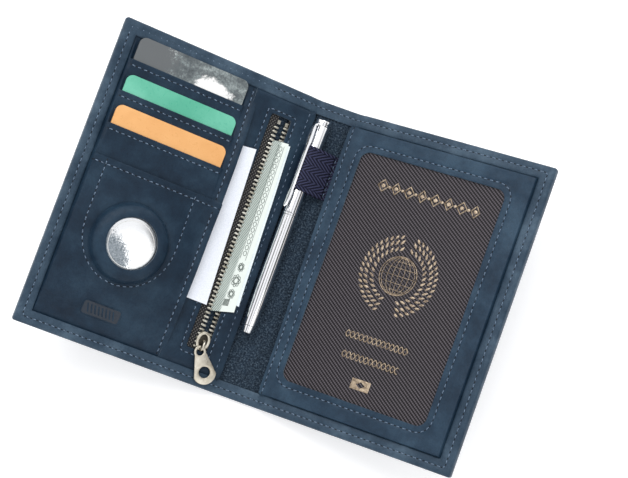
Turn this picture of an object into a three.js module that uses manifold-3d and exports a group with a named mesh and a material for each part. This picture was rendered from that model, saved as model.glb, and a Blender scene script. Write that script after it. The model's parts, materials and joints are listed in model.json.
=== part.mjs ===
// Passport holder: two stitched leather covers on a flat spine, standing open in a shallow V.
// Left cover: three card slots, a round tracker pocket and a zipped pocket. Right cover: a
// passport behind a window. A twist pen sits in an elastic loop over the spine.
//
// Millimetres, +Z up. The origin is the centre of the spine's outer face, on the table;
// +X runs across the spine to the passport side and +Y up the page.
// Each cover is drawn in cover coordinates: u outward from its fold line, v up from the
// bottom edge, w inward from the outer leather face.
import * as THREE from 'three';
import * as BufferGeometryUtils from 'three/addons/utils/BufferGeometryUtils.js';
import Module from 'manifold-3d';

const wasm = await Module();
wasm.setup();

// ---------------------------------------------------------------- driving dimensions
const PAGE_H = 143; // height of the holder along Y
const COVER_W = 97.5; // fold line to free edge
const SPINE_W = 23.3; // fold line to fold line
const REST_FOLD = THREE.MathUtils.degToRad(22); // how far each cover stands up at rest
const HEM = 6.5; // width of the turned leather edge
const LEATHER = 1.0; // outer leather
const PANEL = 0.7; // inner leather
const LIP = 0.8; // turned edge
const GAP = 0.15; // clearance between stacked layers

// Layer heights above the outer face of a cover
const BOARD = [LEATHER + GAP, LEATHER + GAP + 0.6];
const FOIL = [BOARD[1] + GAP, BOARD[1] + GAP + 0.2];
const LINING = [FOIL[1] + GAP, FOIL[1] + GAP + 0.35];
const BASE = LINING[1] + GAP; // where the pockets begin
const HEM_LIP = [BASE + PANEL + GAP, BASE + PANEL + GAP + LIP];
const FOLD_CLEAR = 2.8; // inner layers start this far from the fold line
const LAYER_INSET = 1.2; // inner layers stop this far inside the outer edge

// Cards, ISO ID-1, stood on end behind three slits
const CARD = { w: 54, h: 85.6, t: 0.76, r: 3.2, u: 34.5 };
const CARD_STEP = CARD.t + GAP;
const STRIP_STEP = CARD_STEP + PANEL + GAP; // card to card, with a leather strip between
const SLITS = [126, 111, 95.6];
const CARD_TOPS = [137.3, 119.4, 105.2];
const HEM_CROSS = PAGE_H - HEM;
const CARD_PANEL_U = 28.2; // free edge beside the zip
const PANEL_END_U = COVER_W - HEM - 0.1; // where the raised panels meet the side hem

// Tracker tag and its pocket
const TAG = { r: 15.95, t: 8, u: 62.2, v: 48.8, window: 11.65 };
const TAG_PANEL_TOP = 80.8;

// Zip
const ZIP = { u: 13, row: 1.9, window: [9.6, 19.6, 15.6, 128.4], tape: [13.8, 130], first: 16.4 };
const ZIP_PANEL = [BASE + 1.65, BASE + 1.65 + PANEL];
const TOOTH = { pitch: 2, length: 1.1, half: 0.8, low: BASE + 0.65, high: BASE + 2.05 };
const SLIDER = { v: 20.2, half: 3.3, reach: 4.45, plate: 0.6 };
const BAIL = { v: 18.2, w: 6.25, r: 2.2, wire: 0.6, hang: 0.85 };
const TAB = { eye: 2.9, hole: 1.6, half: 5.6, reach: 9.5, big: 2.6, t: 1.0, lean: 0.58 };

// Passport, ISO ID-3, closed
const BOOK = { w: 87.6, h: 125, u: 2.6, v: 9, cover: 0.4, pages: 1.4, gap: 0.1, r: 3.2 };
const BOOK_TOP = BASE + 2 * BOOK.cover + BOOK.pages + 2 * BOOK.gap;
const WINDOW = { u0: 7.8, u1: 79.8, v0: 16.3, v1: 126.7, r: 4.5 };

// Pen and loop, measured about the pen's own axis, in spine coordinates
const PEN = { x: -4.8, z: 6.1, r: 3.5, low: 30.6, split: 88, top: 134 };
const LOOP = { inner: 3.7, outer: 4.4, v0: 99.5, v1: 120.5, tongue: 5.6 };
const CLIP = { v0: 90, v1: 131.9, inner: 4.6, t: 0.7, w: 3.4, angle: 130 };
const CLIP_FOOT = 130.95; // where the clip's collar begins, under the finial

// What the zipped pocket holds
const SLIP = { v0: 36, v1: 109, low: 17.6, high: 20.8, t: 0.15 };
const NOTES = { u: [20.6, 34], v: [36, 116], t: 0.4 };

// ---------------------------------------------------------------- helpers
function solid(geometry) {
  const bare = geometry.clone();
  bare.deleteAttribute('normal');
  bare.deleteAttribute('uv');
  const merged = BufferGeometryUtils.mergeVertices(bare, 1e-4);
  const vertProperties = new Float32Array(merged.attributes.position.array);
  const triVerts = new Uint32Array(merged.index.array);
  return new wasm.Manifold(new wasm.Mesh({ numProp: 3, vertProperties, triVerts }));
}

function geometryOf(manifold) {
  const mesh = manifold.getMesh();
  const geometry = new THREE.BufferGeometry();
  geometry.setAttribute('position', new THREE.BufferAttribute(mesh.vertProperties, 3));
  geometry.setIndex(new THREE.BufferAttribute(mesh.triVerts, 1));
  return geometry;
}

const join = (first, ...rest) => rest.reduce((sum, next) => sum.add(next), first);
const cut = (first, ...rest) => rest.reduce((left, next) => left.subtract(next), first);

function block([x0, x1], [y0, y1], [z0, z1]) {
  const box = new THREE.BoxGeometry(x1 - x0, y1 - y0, z1 - z0);
  return solid(box.translate((x0 + x1) / 2, (y0 + y1) / 2, (z0 + z1) / 2));
}

// A shape in the XY plane, raised from z0 to z1
function plate(shape, [z0, z1], curveSegments = 6) {
  const options = { depth: z1 - z0, bevelEnabled: false, curveSegments };
  return solid(new THREE.ExtrudeGeometry(shape, options).translate(0, 0, z0));
}

// A closed outline of [y, z] points, drawn out along X from x0 to x1
function rib(points, [x0, x1]) {
  const shape = new THREE.Shape(points.map(([y, z]) => new THREE.Vector2(y, z)));
  const geometry = new THREE.ExtrudeGeometry(shape, { depth: x1 - x0, bevelEnabled: false });
  const axes = [new THREE.Vector3(0, 1, 0), new THREE.Vector3(0, 0, 1), new THREE.Vector3(1, 0, 0)];
  geometry.applyMatrix4(new THREE.Matrix4().makeBasis(...axes));
  return solid(geometry.translate(x0, 0, 0));
}

function roundedRect([x0, x1], [y0, y1], r) {
  const shape = new THREE.Shape();
  shape.moveTo(x0 + r, y0);
  shape.lineTo(x1 - r, y0);
  shape.absarc(x1 - r, y0 + r, r, -Math.PI / 2, 0);
  shape.lineTo(x1, y1 - r);
  shape.absarc(x1 - r, y1 - r, r, 0, Math.PI / 2);
  shape.lineTo(x0 + r, y1);
  shape.absarc(x0 + r, y1 - r, r, Math.PI / 2, Math.PI);
  shape.lineTo(x0, y0 + r);
  shape.absarc(x0 + r, y0 + r, r, Math.PI, Math.PI * 1.5);
  return shape;
}

// A closed [radius, height] profile turned about +Z
function turned(profile, segments = 40) {
  const points = profile.map(([r, h]) => new THREE.Vector2(r, h));
  const geometry = new THREE.LatheGeometry([...points, points[0]], segments);
  return solid(geometry.rotateX(Math.PI / 2));
}

// The same, about an axis along +Y at the pen's centre, with heights read as v
function turnedOnPen(profile, segments = 24) {
  const points = profile.map(([r, v]) => new THREE.Vector2(r, v));
  const geometry = new THREE.LatheGeometry([...points, points[0]], segments);
  return solid(geometry.translate(PEN.x, -PAGE_H / 2, PEN.z));
}

function paint(color, roughness, metalness = 0) {
  return { color, roughness, metalness };
}

function named(name, shape, look) {
  const geometry = geometryOf(shape);
  geometry.computeVertexNormals();
  const mesh = new THREE.Mesh(geometry, new THREE.MeshStandardMaterial(look));
  mesh.name = name;
  return mesh;
}

// Cover coordinates to the cover's group: side is -1 for the left cover, +1 for the right
function onCover(side, name, shape, look) {
  const mesh = named(name, shape, look);
  if (side < 0) {
    mesh.geometry.scale(-1, 1, 1);
    mesh.geometry.index.array.reverse();
    mesh.geometry.computeVertexNormals();
  }
  return mesh;
}

function coverGroup(side) {
  const group = new THREE.Group();
  group.position.set(side * SPINE_W / 2, -PAGE_H / 2, 0);
  group.rotation.y = -side * REST_FOLD;
  return group;
}

const LOOK = {
  outer: paint(0x42546a, 0.55),
  inner: paint(0x2b3d50, 0.6),
  board: paint(0x8c7a60, 0.9),
  foil: paint(0xa8a8a4, 0.4, 0.8),
  lining: paint(0x465a6e, 0.9),
  tape: paint(0x16171b, 0.9),
  brass: paint(0xb9aa8c, 0.35, 1),
  nickel: paint(0xcdc8ba, 0.3, 1),
  chrome: paint(0xe6e8ec, 0.12, 1),
  elastic: paint(0x2a2642, 0.85),
  paper: paint(0xeef2fb, 0.85),
  note: paint(0xe6efe8, 0.85),
  plastic: paint(0xf2f2f0, 0.35),
  board_green: paint(0x2f6b45, 0.5),
  passport: paint(0x3c3438, 0.6),
};

// ---------------------------------------------------------------- shared cover layers
// Outer leather with its edge turned over on three sides; the wall starts past the fold
function outerCover() {
  const skin = block([0.4, COVER_W], [0, PAGE_H], [0, LEATHER]);
  const rim = block([FOLD_CLEAR, COVER_W], [0, PAGE_H], [LEATHER / 2, HEM_LIP[1]]);
  const inside = block(
    [-1, COVER_W - LAYER_INSET + 0.2],
    [LAYER_INSET - 0.2, PAGE_H - LAYER_INSET + 0.2],
    [LEATHER / 2 - 1, HEM_LIP[0]],
  );
  const mouth = block([-1, COVER_W - HEM], [HEM, PAGE_H - HEM], [-1, HEM_LIP[1] + 1]);
  return join(skin, cut(rim, inside, mouth));
}

function coverLayer([low, high], start, inset) {
  return block([start, COVER_W - inset], [inset, PAGE_H - inset], [low, high]);
}

function addCoverLayers(group, side, label) {
  const add = (name, shape, look) => group.add(onCover(side, `${name}_${label}`, shape, look));
  add('outer_cover', outerCover(), LOOK.outer);
  add('stiffener', coverLayer(BOARD, 4, LAYER_INSET + 0.6), LOOK.board);
  add('rfid_shield', coverLayer(FOIL, 4, LAYER_INSET + 0.6), LOOK.foil);
  add('lining', coverLayer(LINING, FOLD_CLEAR, LAYER_INSET), LOOK.lining);
}

// ---------------------------------------------------------------- card slots
// Each card lies on a slight slope, so its top clears the hem and its foot reaches the lining.
// plane(v) is the height of a card's underside.
function cardPlanes() {
  const feet = CARD_TOPS.map((top) => top - CARD.h);
  const line = (v0, w0, v1, w1) => (v) => w0 + ((v - v0) * (w1 - w0)) / (v1 - v0);
  const top = line(feet[0], BASE, HEM_CROSS, HEM_LIP[1] + GAP);
  const middle = line(feet[0], BASE + CARD_STEP, SLITS[1], top(SLITS[1]) + STRIP_STEP);
  const foot = middle(feet[1]) + CARD_STEP;
  const bottom = line(feet[1], foot, SLITS[2], middle(SLITS[2]) + STRIP_STEP);
  return [top, middle, bottom];
}

const PLANES = cardPlanes();
const under = (index) => (v) => PLANES[index](v) + CARD_STEP;
const FIELD_FOOT = CARD_TOPS[2] - CARD.h; // where the lowest card stands
const fieldTop = (v) => under(2)(v) + PANEL; // leather surface over the lowest card
const FIELD_TILT = Math.atan(under(2)(1) - under(2)(0));

// Underside of the card panel from the bottom hem to the top hem, as [v, w]
function cardPanelUnderside() {
  const [top, middle, low] = SLITS;
  return [
    [LAYER_INSET, BASE],
    [HEM + 1.4, BASE],
    [FIELD_FOOT, under(2)(FIELD_FOOT)],
    [low - PANEL, under(2)(low - PANEL)],
    [low - PANEL, under(1)(low)],
    [middle - PANEL, under(1)(middle)],
    [middle - PANEL, under(0)(middle)],
    [top - PANEL, under(0)(top)],
    [top - PANEL, BASE],
    [PAGE_H - LAYER_INSET, BASE],
  ];
}

// The same line one leather thickness up; the risers at the slits are a thickness wide
function topLine(underside) {
  return underside.map(([v, w], i) => {
    const onRiser = i >= 3 && i <= 8;
    return [v + (onRiser ? PANEL : 0), w + PANEL];
  });
}

function cardPanel() {
  const low = cardPanelUnderside();
  const high = topLine(low);
  const sheet = rib([...low, ...high.reverse()], [CARD_PANEL_U, PANEL_END_U]);
  const side = rib(
    [[HEM + 0.4, BASE], ...topLine(low).slice(2, 8), [SLITS[0], BASE]],
    [PANEL_END_U - PANEL, PANEL_END_U],
  );
  const flange = block(
    [PANEL_END_U - PANEL, COVER_W - LAYER_INSET],
    [LAYER_INSET, PAGE_H - LAYER_INSET],
    [BASE, BASE + PANEL],
  );
  const slitSpan = [CARD.u - 0.35, CARD.u + CARD.w + 0.35];
  const mouths = SLITS.map((v, i) => {
    const floor = i === 0 ? BASE + PANEL : under(i - 1)(v) + PANEL;
    return block(slitSpan, [v - 1.4, v + 0.4], [floor + 0.02, under(i)(v) - 0.04]);
  });
  return cut(join(sheet, side, flange), ...mouths);
}

function cardShape(index) {
  const top = CARD_TOPS[index];
  const outline = roundedRect([CARD.u, CARD.u + CARD.w], [0, CARD.h], CARD.r);
  const card = new THREE.ExtrudeGeometry(outline, {
    depth: CARD.t,
    bevelEnabled: false,
    curveSegments: 6,
  });
  const plane = PLANES[index];
  const slope = plane(1) - plane(0);
  card.rotateX(Math.atan(slope));
  return solid(card.translate(0, top - CARD.h, plane(top - CARD.h)));
}

function addCards(group) {
  const looks = [paint(0x9a9ca0, 0.25, 0.8), paint(0x70c8aa, 0.4), paint(0xf3b976, 0.4)];
  ['card_top', 'card_middle', 'card_bottom'].forEach((name, i) => {
    group.add(onCover(-1, name, cardShape(i), looks[i]));
  });
}

// ---------------------------------------------------------------- tracker pocket
// Heights inside the pocket are measured from the leather under the tag
const TAG_LIFT = GAP + 0.05;
const DOME_TOP = TAG_LIFT + TAG.t + 0.2;

function tagPlacement(geometry) {
  geometry.rotateX(FIELD_TILT);
  return geometry.translate(TAG.u, TAG.v, fieldTop(TAG.v));
}

function onTagAxis(shape) {
  return solid(tagPlacement(geometryOf(shape)));
}

function tagPanel() {
  const t = PANEL;
  const sheetLow = [
    [HEM + 0.3, BASE + PANEL + GAP],
    [HEM + 1.6, BASE + PANEL + GAP],
    [FIELD_FOOT, fieldTop(FIELD_FOOT) + GAP],
    [TAG_PANEL_TOP, fieldTop(TAG_PANEL_TOP) + GAP],
  ];
  const sheetHigh = sheetLow.map(([v, w]) => [v, w + t]).reverse();
  const sheet = rib([...sheetLow, ...sheetHigh], [CARD_PANEL_U + 0.2, PANEL_END_U - 0.1]);
  const opening = onTagAxis(turned([[0, -2], [TAG.r + 0.7, -2], [TAG.r + 0.7, 4], [0, 4]]));
  const dome = onTagAxis(
    turned([
      [TAG.r + 0.25, GAP + 0.12],
      [TAG.r + 2.4, GAP + 0.12],
      [TAG.r + 2.4, GAP + t - 0.15],
      [TAG.r + 1.7, 1.5],
      [TAG.r + 0.95, 6],
      [14, DOME_TOP + t - 0.1],
      [TAG.window, DOME_TOP + t],
      [TAG.window, DOME_TOP],
      [13.6, DOME_TOP - 0.1],
      [TAG.r + 0.25, 5.6],
    ], 48),
  );
  return join(cut(sheet, opening), dome);
}

function addTag(group) {
  const add = (name, profile, look) => {
    group.add(onCover(-1, name, onTagAxis(turned(profile)), look));
  };
  const r = TAG.r;
  const wall = 1.2;
  const low = TAG_LIFT;
  add('tag_base', [
    [0, low], [r - 2.6, low], [r - 0.6, low + 1], [r, low + 2.6], [r, low + 5],
    [r - wall, low + 5], [r - wall, low + 1.6], [0, low + 1.6],
  ], LOOK.plastic);
  add('tag_circuit_board', [
    [0, low + 1.75], [r - 1.5, low + 1.75], [r - 1.5, low + 2.55], [0, low + 2.55],
  ], LOOK.board_green);
  add('tag_battery', [
    [0, low + 2.7], [9.6, low + 2.7], [10, low + 3.1], [10, low + 5.7], [0, low + 5.7],
  ], LOOK.nickel);
  add('tag_cap', [
    [0, low + 6.6], [r - 2.3, low + 6.6], [r - wall - 0.15, low + 4.8],
    [r - wall - 0.15, low + 5.15], [r - 0.15, low + 5.15], [r - 1, low + 6.4],
    [r - 2.6, low + 7.4], [r - 5, low + 7.9], [0, low + 8],
  ], LOOK.chrome);
}

// ---------------------------------------------------------------- zipped pocket
function zipPanel() {
  const rise = HEM + 3;
  const low = [
    [LAYER_INSET, BASE],
    [HEM + 0.8, BASE],
    [rise, ZIP_PANEL[0]],
    [PAGE_H - rise, ZIP_PANEL[0]],
    [PAGE_H - HEM - 0.8, BASE],
    [PAGE_H - LAYER_INSET, BASE],
  ];
  const high = low.map(([v, w]) => [v, w + PANEL]).reverse();
  const sheet = rib([...low, ...high], [FOLD_CLEAR, CARD_PANEL_U - 0.3]);
  const [u0, u1, v0, v1] = ZIP.window;
  return cut(sheet, plate(roundedRect([u0, u1], [v0, v1], 1.2), [0, 12]));
}

// side is +1 for the tape away from the spine
function zipTape(side) {
  const inner = ZIP.u + side * (ZIP.row + TOOTH.half + GAP);
  const outer = ZIP.u + side * 9.4;
  const span = [Math.min(inner, outer), Math.max(inner, outer)];
  return block(span, ZIP.tape, [BASE + 1.15, BASE + 1.45]);
}

function zipTeeth(side) {
  const count = 54;
  const start = ZIP.first;
  const back = ZIP.row + TOOTH.half;
  const face = ZIP.row - TOOTH.half;
  const shape = new THREE.Shape();
  shape.moveTo(back, start);
  shape.lineTo(ZIP.row, start);
  for (let i = 0; i < count; i += 1) {
    const v = start + i * TOOTH.pitch;
    shape.lineTo(face, v + 0.1);
    shape.lineTo(face, v + TOOTH.length - 0.1);
    shape.lineTo(ZIP.row, v + TOOTH.length);
    shape.lineTo(ZIP.row, v + TOOTH.pitch);
  }
  shape.lineTo(back, start + count * TOOTH.pitch);
  const row = geometryOf(plate(shape, [TOOTH.low, TOOTH.high]));
  if (side < 0) {
    row.rotateY(Math.PI).translate(0, 0, TOOTH.low + TOOTH.high);
  }
  return solid(row.translate(ZIP.u, 0, 0));
}

function addZip(group) {
  const add = (name, shape, look) => group.add(onCover(-1, name, shape, look));
  add('zip_panel', zipPanel(), LOOK.inner);
  add('zip_tape_outer', zipTape(1), LOOK.tape);
  add('zip_tape_inner', zipTape(-1), LOOK.tape);
  add('zip_teeth_outer', zipTeeth(1), LOOK.brass);
  add('zip_teeth_inner', zipTeeth(-1), LOOK.brass);
  const stopW = [TOOTH.low, BASE + 1.5];
  add('zip_bottom_stop', block([ZIP.u - 2.4, ZIP.u + 2.4], [14.2, 15.4], stopW), LOOK.brass);
  for (const [label, side] of [['outer', 1], ['inner', -1]]) {
    const centre = ZIP.u + side * ZIP.row;
    const stop = block([centre - 0.7, centre + 0.7], [124.8, 126.6], [TOOTH.low, TOOTH.high]);
    add(`zip_top_stop_${label}`, stop, LOOK.brass);
  }
  add('banknotes', block(NOTES.u, NOTES.v, [BASE, BASE + NOTES.t]), LOOK.note);
  const slip = plate(slipOutline(), [ZIP_PANEL[1] + GAP, ZIP_PANEL[1] + GAP + SLIP.t]);
  add('paper_slip', slip, LOOK.paper);
}

// A folded paper whose foot leans out towards the spine
function slipOutline() {
  const shape = new THREE.Shape();
  const edge = CARD_PANEL_U - 0.2;
  shape.moveTo(SLIP.low, SLIP.v0);
  shape.lineTo(edge, SLIP.v0);
  shape.lineTo(edge, SLIP.v1);
  shape.lineTo(SLIP.high, SLIP.v1 + 1);
  return shape;
}

// ---------------------------------------------------------------- slider and pull
// An oval plate above and below the teeth, joined by a wedge, with a bail on top
function sliderBody() {
  const { v, half, reach, plate: t } = SLIDER;
  const oval = new THREE.Shape().absellipse(ZIP.u, v, half, reach, 0, Math.PI * 2);
  const top = TOOTH.high + GAP;
  const bottomPlate = plate(oval, [BASE, TOOTH.low - GAP], 14);
  const topPlate = plate(oval, [top, top + t], 14);
  const wedge = block([ZIP.u - 0.8, ZIP.u + 0.8], [v + 1.2, v + 3.8], [BASE + 0.2, top + t / 2]);
  return join(bottomPlate, topPlate, wedge, bailArch(top + t / 2));
}

// A wire arch along the zip, with its feet at height foot in the top plate
function bailArch(foot) {
  const arc = new THREE.EllipseCurve(BAIL.v, BAIL.w, BAIL.r, BAIL.r, 0, Math.PI);
  const route = arc.getPoints(10).map((p) => new THREE.Vector3(ZIP.u, p.x, p.y));
  route.unshift(new THREE.Vector3(ZIP.u, BAIL.v + BAIL.r, foot));
  route.push(new THREE.Vector3(ZIP.u, BAIL.v - BAIL.r, foot));
  const bail = new THREE.ExtrudeGeometry(new THREE.Shape().absarc(0, 0, BAIL.wire, 0, Math.PI * 2), {
    steps: 20,
    extrudePath: new THREE.CatmullRomCurve3(route, false, 'catmullrom', 0.1),
    curveSegments: 5,
    bevelEnabled: false,
  });
  return solid(bail);
}

// A teardrop with an eye round the bail and a large hole in its wide end
function pullTab() {
  const { eye, hole, half, reach, big, t } = TAB;
  const drop = new THREE.Shape();
  drop.moveTo(-eye, 0);
  drop.absarc(0, 0, eye, Math.PI, 0, true);
  drop.bezierCurveTo(eye, -reach / 3, half, -reach * 0.6, half, -reach);
  drop.absarc(0, -reach, half, 0, -Math.PI, true);
  drop.bezierCurveTo(-half, -reach * 0.6, -eye, -reach / 3, -eye, 0);
  drop.holes.push(new THREE.Path().absarc(0, 0, hole, 0, Math.PI * 2));
  drop.holes.push(new THREE.Path().absarc(0, -reach, big, 0, Math.PI * 2));
  const tab = geometryOf(plate(drop, [BAIL.w - t / 2, BAIL.w + t / 2], 12));
  tab.rotateZ(-TAB.lean);
  return solid(tab.translate(ZIP.u, BAIL.v - BAIL.r - BAIL.hang, 0));
}

// ---------------------------------------------------------------- window panel and passport
function windowPanel() {
  const high = [BOOK_TOP + GAP, BOOK_TOP + GAP + PANEL];
  const t = 0.6;
  const v = [HEM + 1.1, PAGE_H - HEM - 1.1];
  const shell = block([FOLD_CLEAR, PANEL_END_U], v, [BASE, high[1]]);
  const room = block([0, PANEL_END_U - t], [v[0] + t, v[1] - t], [0, high[0]]);
  const frame = block(
    [FOLD_CLEAR, COVER_W - LAYER_INSET],
    [LAYER_INSET, PAGE_H - LAYER_INSET],
    [BASE, BASE + PANEL],
  );
  const inside = block([0, PANEL_END_U - t], [v[0] + t, v[1] - t], [0, BASE + 2]);
  const { u0, u1, v0, v1, r } = WINDOW;
  const window = plate(roundedRect([u0, u1], [v0, v1], r), [0, 12]);
  return cut(join(cut(shell, room), cut(frame, inside)), window);
}

function bookLayer(from, to, trim) {
  const u = [BOOK.u + trim / 2, BOOK.u + BOOK.w - trim];
  const v = [BOOK.v + trim, BOOK.v + BOOK.h - trim];
  return plate(roundedRect(u, v, BOOK.r), [from, to]);
}

function addPassport(group) {
  const add = (name, shape, look) => group.add(onCover(1, name, shape, look));
  const back = BASE + BOOK.cover;
  const pages = [back + BOOK.gap, back + BOOK.gap + BOOK.pages];
  add('passport_back_cover', bookLayer(BASE, back, 0), LOOK.passport);
  add('passport_pages', bookLayer(pages[0], pages[1], 0.8), LOOK.paper);
  add('passport_front_cover', bookLayer(pages[1] + BOOK.gap, BOOK_TOP, 0), LOOK.passport);
}

// ---------------------------------------------------------------- spine
const SPINE_LINING = [LEATHER + GAP, LEATHER + GAP + 0.35];
const SPINE_LIP = [SPINE_LINING[1] + GAP, SPINE_LINING[1] + GAP + LIP];

function spineCover() {
  const half = SPINE_W / 2 - 1.4;
  const skin = block([-half, half], [0, PAGE_H], [0, LEATHER]);
  const rim = block([-half, half], [0, PAGE_H], [LEATHER / 2, SPINE_LIP[1]]);
  const inside = block(
    [-half - 1, half + 1],
    [LAYER_INSET - 0.2, PAGE_H - LAYER_INSET + 0.2],
    [0, SPINE_LIP[0]],
  );
  const mouth = block([-half - 1, half + 1], [HEM, PAGE_H - HEM], [0, SPINE_LIP[1] + 1]);
  return join(skin, cut(rim, inside, mouth));
}

function spineLining() {
  const half = SPINE_W / 2 - 1.8;
  return block([-half, half], [LAYER_INSET, PAGE_H - LAYER_INSET], SPINE_LINING);
}

function addSpine(group) {
  const spine = new THREE.Group();
  spine.position.y = -PAGE_H / 2;
  spine.add(named('spine_cover', spineCover(), LOOK.outer));
  spine.add(named('spine_lining', spineLining(), LOOK.lining));
  group.add(spine);
}

// ---------------------------------------------------------------- pen and loop
function penLoop() {
  const { inner, outer, v0, v1, tongue } = LOOP;
  const tube = turnedOnPen([[inner, v0], [outer, v0], [outer, v1], [inner, v1]], 32);
  const floor = PEN.z - outer;
  const strap = block(
    [PEN.x, tongue],
    [v0 - PAGE_H / 2, v1 - PAGE_H / 2],
    [floor, floor + outer - inner],
  );
  const bore = turnedOnPen([[0, v0 - 1], [inner, v0 - 1], [inner, v1 + 1], [0, v1 + 1]], 32);
  return join(tube, cut(strap, bore));
}

function penClip() {
  const { v0, v1, inner, t, w, angle } = CLIP;
  const collar = turnedOnPen([[2.1, CLIP_FOOT], [PEN.r, CLIP_FOOT], [PEN.r, v1], [2.1, v1]]);
  const turn = THREE.MathUtils.degToRad(angle - 90);
  const outline = [
    [v0, inner + 0.6],
    [v0 + 3, inner],
    [CLIP_FOOT - 3.5, inner],
    [CLIP_FOOT, 3.9],
    [CLIP_FOOT, 2.9],
    [v1, 2.9],
    [v1, 4.3],
    [CLIP_FOOT - 2.5, inner + t],
    [v0 + 3, inner + t],
    [v0, inner + t + 0.5],
  ];
  const arm = geometryOf(rib(outline, [-w / 2, w / 2]));
  arm.rotateY(-turn).translate(PEN.x, -PAGE_H / 2, PEN.z);
  return join(collar, solid(arm));
}

function addPen(group) {
  const add = (name, shape, look) => group.add(named(name, shape, look));
  const { r, low, split, top } = PEN;
  add('pen_loop', penLoop(), LOOK.elastic);
  add('pen_upper_barrel', turnedOnPen([
    [2.7, split + 0.7], [r, split + 0.7], [r, 130.8], [2.1, 130.8], [2.1, 129.8], [2.7, 129.8],
  ]), LOOK.chrome);
  add('pen_clip', penClip(), LOOK.chrome);
  add('pen_finial', turnedOnPen([
    [0, 128.6], [1.9, 128.6], [1.9, 132.05], [r, 132.05], [r, 133.2], [r - 0.9, top], [0, top],
  ]), LOOK.chrome);
  add('pen_centre_ring', turnedOnPen([
    [2.75, split - 0.55], [r + 0.15, split - 0.55], [r + 0.15, split + 0.55], [2.75, split + 0.55],
  ]), LOOK.chrome);
  add('pen_twist_sleeve', turnedOnPen([
    [1.8, split + 1.5], [2.4, split + 1.5], [2.4, split + 18], [1.8, split + 18],
  ]), LOOK.brass);
  add('pen_lower_barrel', turnedOnPen([
    [2, 34], [2.9, 34], [r, 46], [r, split - 0.7], [2.5, split - 0.7], [2.5, 46],
  ]), LOOK.chrome);
  add('pen_nozzle', turnedOnPen([
    [1.2, low], [1.9, low], [2.8, 33.85], [1.9, 33.85], [1.2, 33],
  ]), LOOK.chrome);
  add('pen_refill', turnedOnPen([
    [0, 38.2], [1.55, 38.2], [1.55, split + 14], [0, split + 14],
  ], 16), LOOK.plastic);
  add('pen_refill_tip', turnedOnPen([
    [0, 35.3], [0.5, 35.6], [1, 37.2], [1, 38.05], [0, 38.05],
  ], 16), LOOK.brass);
}

// ---------------------------------------------------------------- assembly
const group = new THREE.Group();
addSpine(group);

const left = coverGroup(-1);
addCoverLayers(left, -1, 'left');
addZip(left);
left.add(onCover(-1, 'card_panel', cardPanel(), LOOK.inner));
left.add(onCover(-1, 'tag_panel', tagPanel(), LOOK.inner));
addCards(left);
addTag(left);
left.add(onCover(-1, 'zip_slider', sliderBody(), LOOK.nickel));
left.add(onCover(-1, 'pull_tab', pullTab(), LOOK.nickel));
group.add(left);

const right = coverGroup(1);
addCoverLayers(right, 1, 'right');
right.add(onCover(1, 'window_panel', windowPanel(), LOOK.inner));
addPassport(right);
group.add(right);

addPen(group);

export default group;
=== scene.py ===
"""Looks of the passport holder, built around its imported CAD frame.

Millimetres are used for every shape and turned into metres when a mesh is made. Cover coordinates
are s (outward from the middle of the spine), v (up from the bottom edge) and w (inward from the
outer leather face). bent() lays them on the object: flat spine, rounded fold, raised cover.
"""
import json
import math
import random

import bmesh
import bpy
import numpy as np
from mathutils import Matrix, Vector, noise


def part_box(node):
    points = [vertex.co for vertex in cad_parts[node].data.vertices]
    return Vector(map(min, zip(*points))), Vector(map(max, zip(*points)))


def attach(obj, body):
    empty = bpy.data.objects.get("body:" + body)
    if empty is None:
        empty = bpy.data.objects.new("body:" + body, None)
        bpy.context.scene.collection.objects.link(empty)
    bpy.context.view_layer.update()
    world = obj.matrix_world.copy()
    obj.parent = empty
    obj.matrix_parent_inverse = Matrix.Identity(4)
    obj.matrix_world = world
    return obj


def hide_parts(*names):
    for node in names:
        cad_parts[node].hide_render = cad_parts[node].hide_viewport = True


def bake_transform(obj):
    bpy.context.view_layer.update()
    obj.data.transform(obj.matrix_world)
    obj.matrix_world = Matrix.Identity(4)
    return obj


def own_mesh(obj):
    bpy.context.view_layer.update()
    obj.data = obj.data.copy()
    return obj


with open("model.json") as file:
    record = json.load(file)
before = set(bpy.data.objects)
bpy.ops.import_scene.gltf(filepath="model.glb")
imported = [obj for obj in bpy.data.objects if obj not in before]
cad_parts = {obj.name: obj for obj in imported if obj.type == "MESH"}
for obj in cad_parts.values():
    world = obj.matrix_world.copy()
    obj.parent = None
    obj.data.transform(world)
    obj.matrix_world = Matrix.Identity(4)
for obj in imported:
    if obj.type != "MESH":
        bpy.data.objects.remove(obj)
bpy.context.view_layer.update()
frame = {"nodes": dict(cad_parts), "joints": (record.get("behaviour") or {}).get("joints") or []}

MM = 0.001
RNG = random.Random(11)

# ------------------------------------------------------------------ sizes taken from the frame
JOINTS = {j["name"]: j for j in frame["joints"]}
FOLD_S = JOINTS["right_fold"]["pos_m"][0] / MM
FOLD = math.acos(-JOINTS["pull_swing"]["axis"][0])
LOW, HIGH = (np.array(c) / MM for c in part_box("outer_cover_right"))
PAGE_H = HIGH[1] - LOW[1]
COVER_W = (HIGH[0] - FOLD_S) / math.cos(FOLD)
EDGE_S = FOLD_S + COVER_W
FOLD_REACH = 4.0  # the leather turns over this far to each side of the fold line
HEM = 6.5
HEM_TOP = 4.4  # height of the turned edge on the covers
SPINE_HEM_TOP = 2.45
LEATHER = 1.0
CORNER = 1.1  # radius of the covers' outer corners
HEM_SEAM = 3.2  # from the leather's edge to the stitches in its hem
TUCK = 3.5  # panel height where it goes under a hem
PANEL_INSET = 5.8  # from the leather's edge to a panel's edge under the hem
PANEL_END_U = 91.6


def smooth(x, low, high):
    t = np.clip((np.asarray(x, float) - low) / (high - low), 0, 1)
    return t * t * (3 - 2 * t)


def mix(a, b, t):
    return a + (b - a) * t


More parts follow.
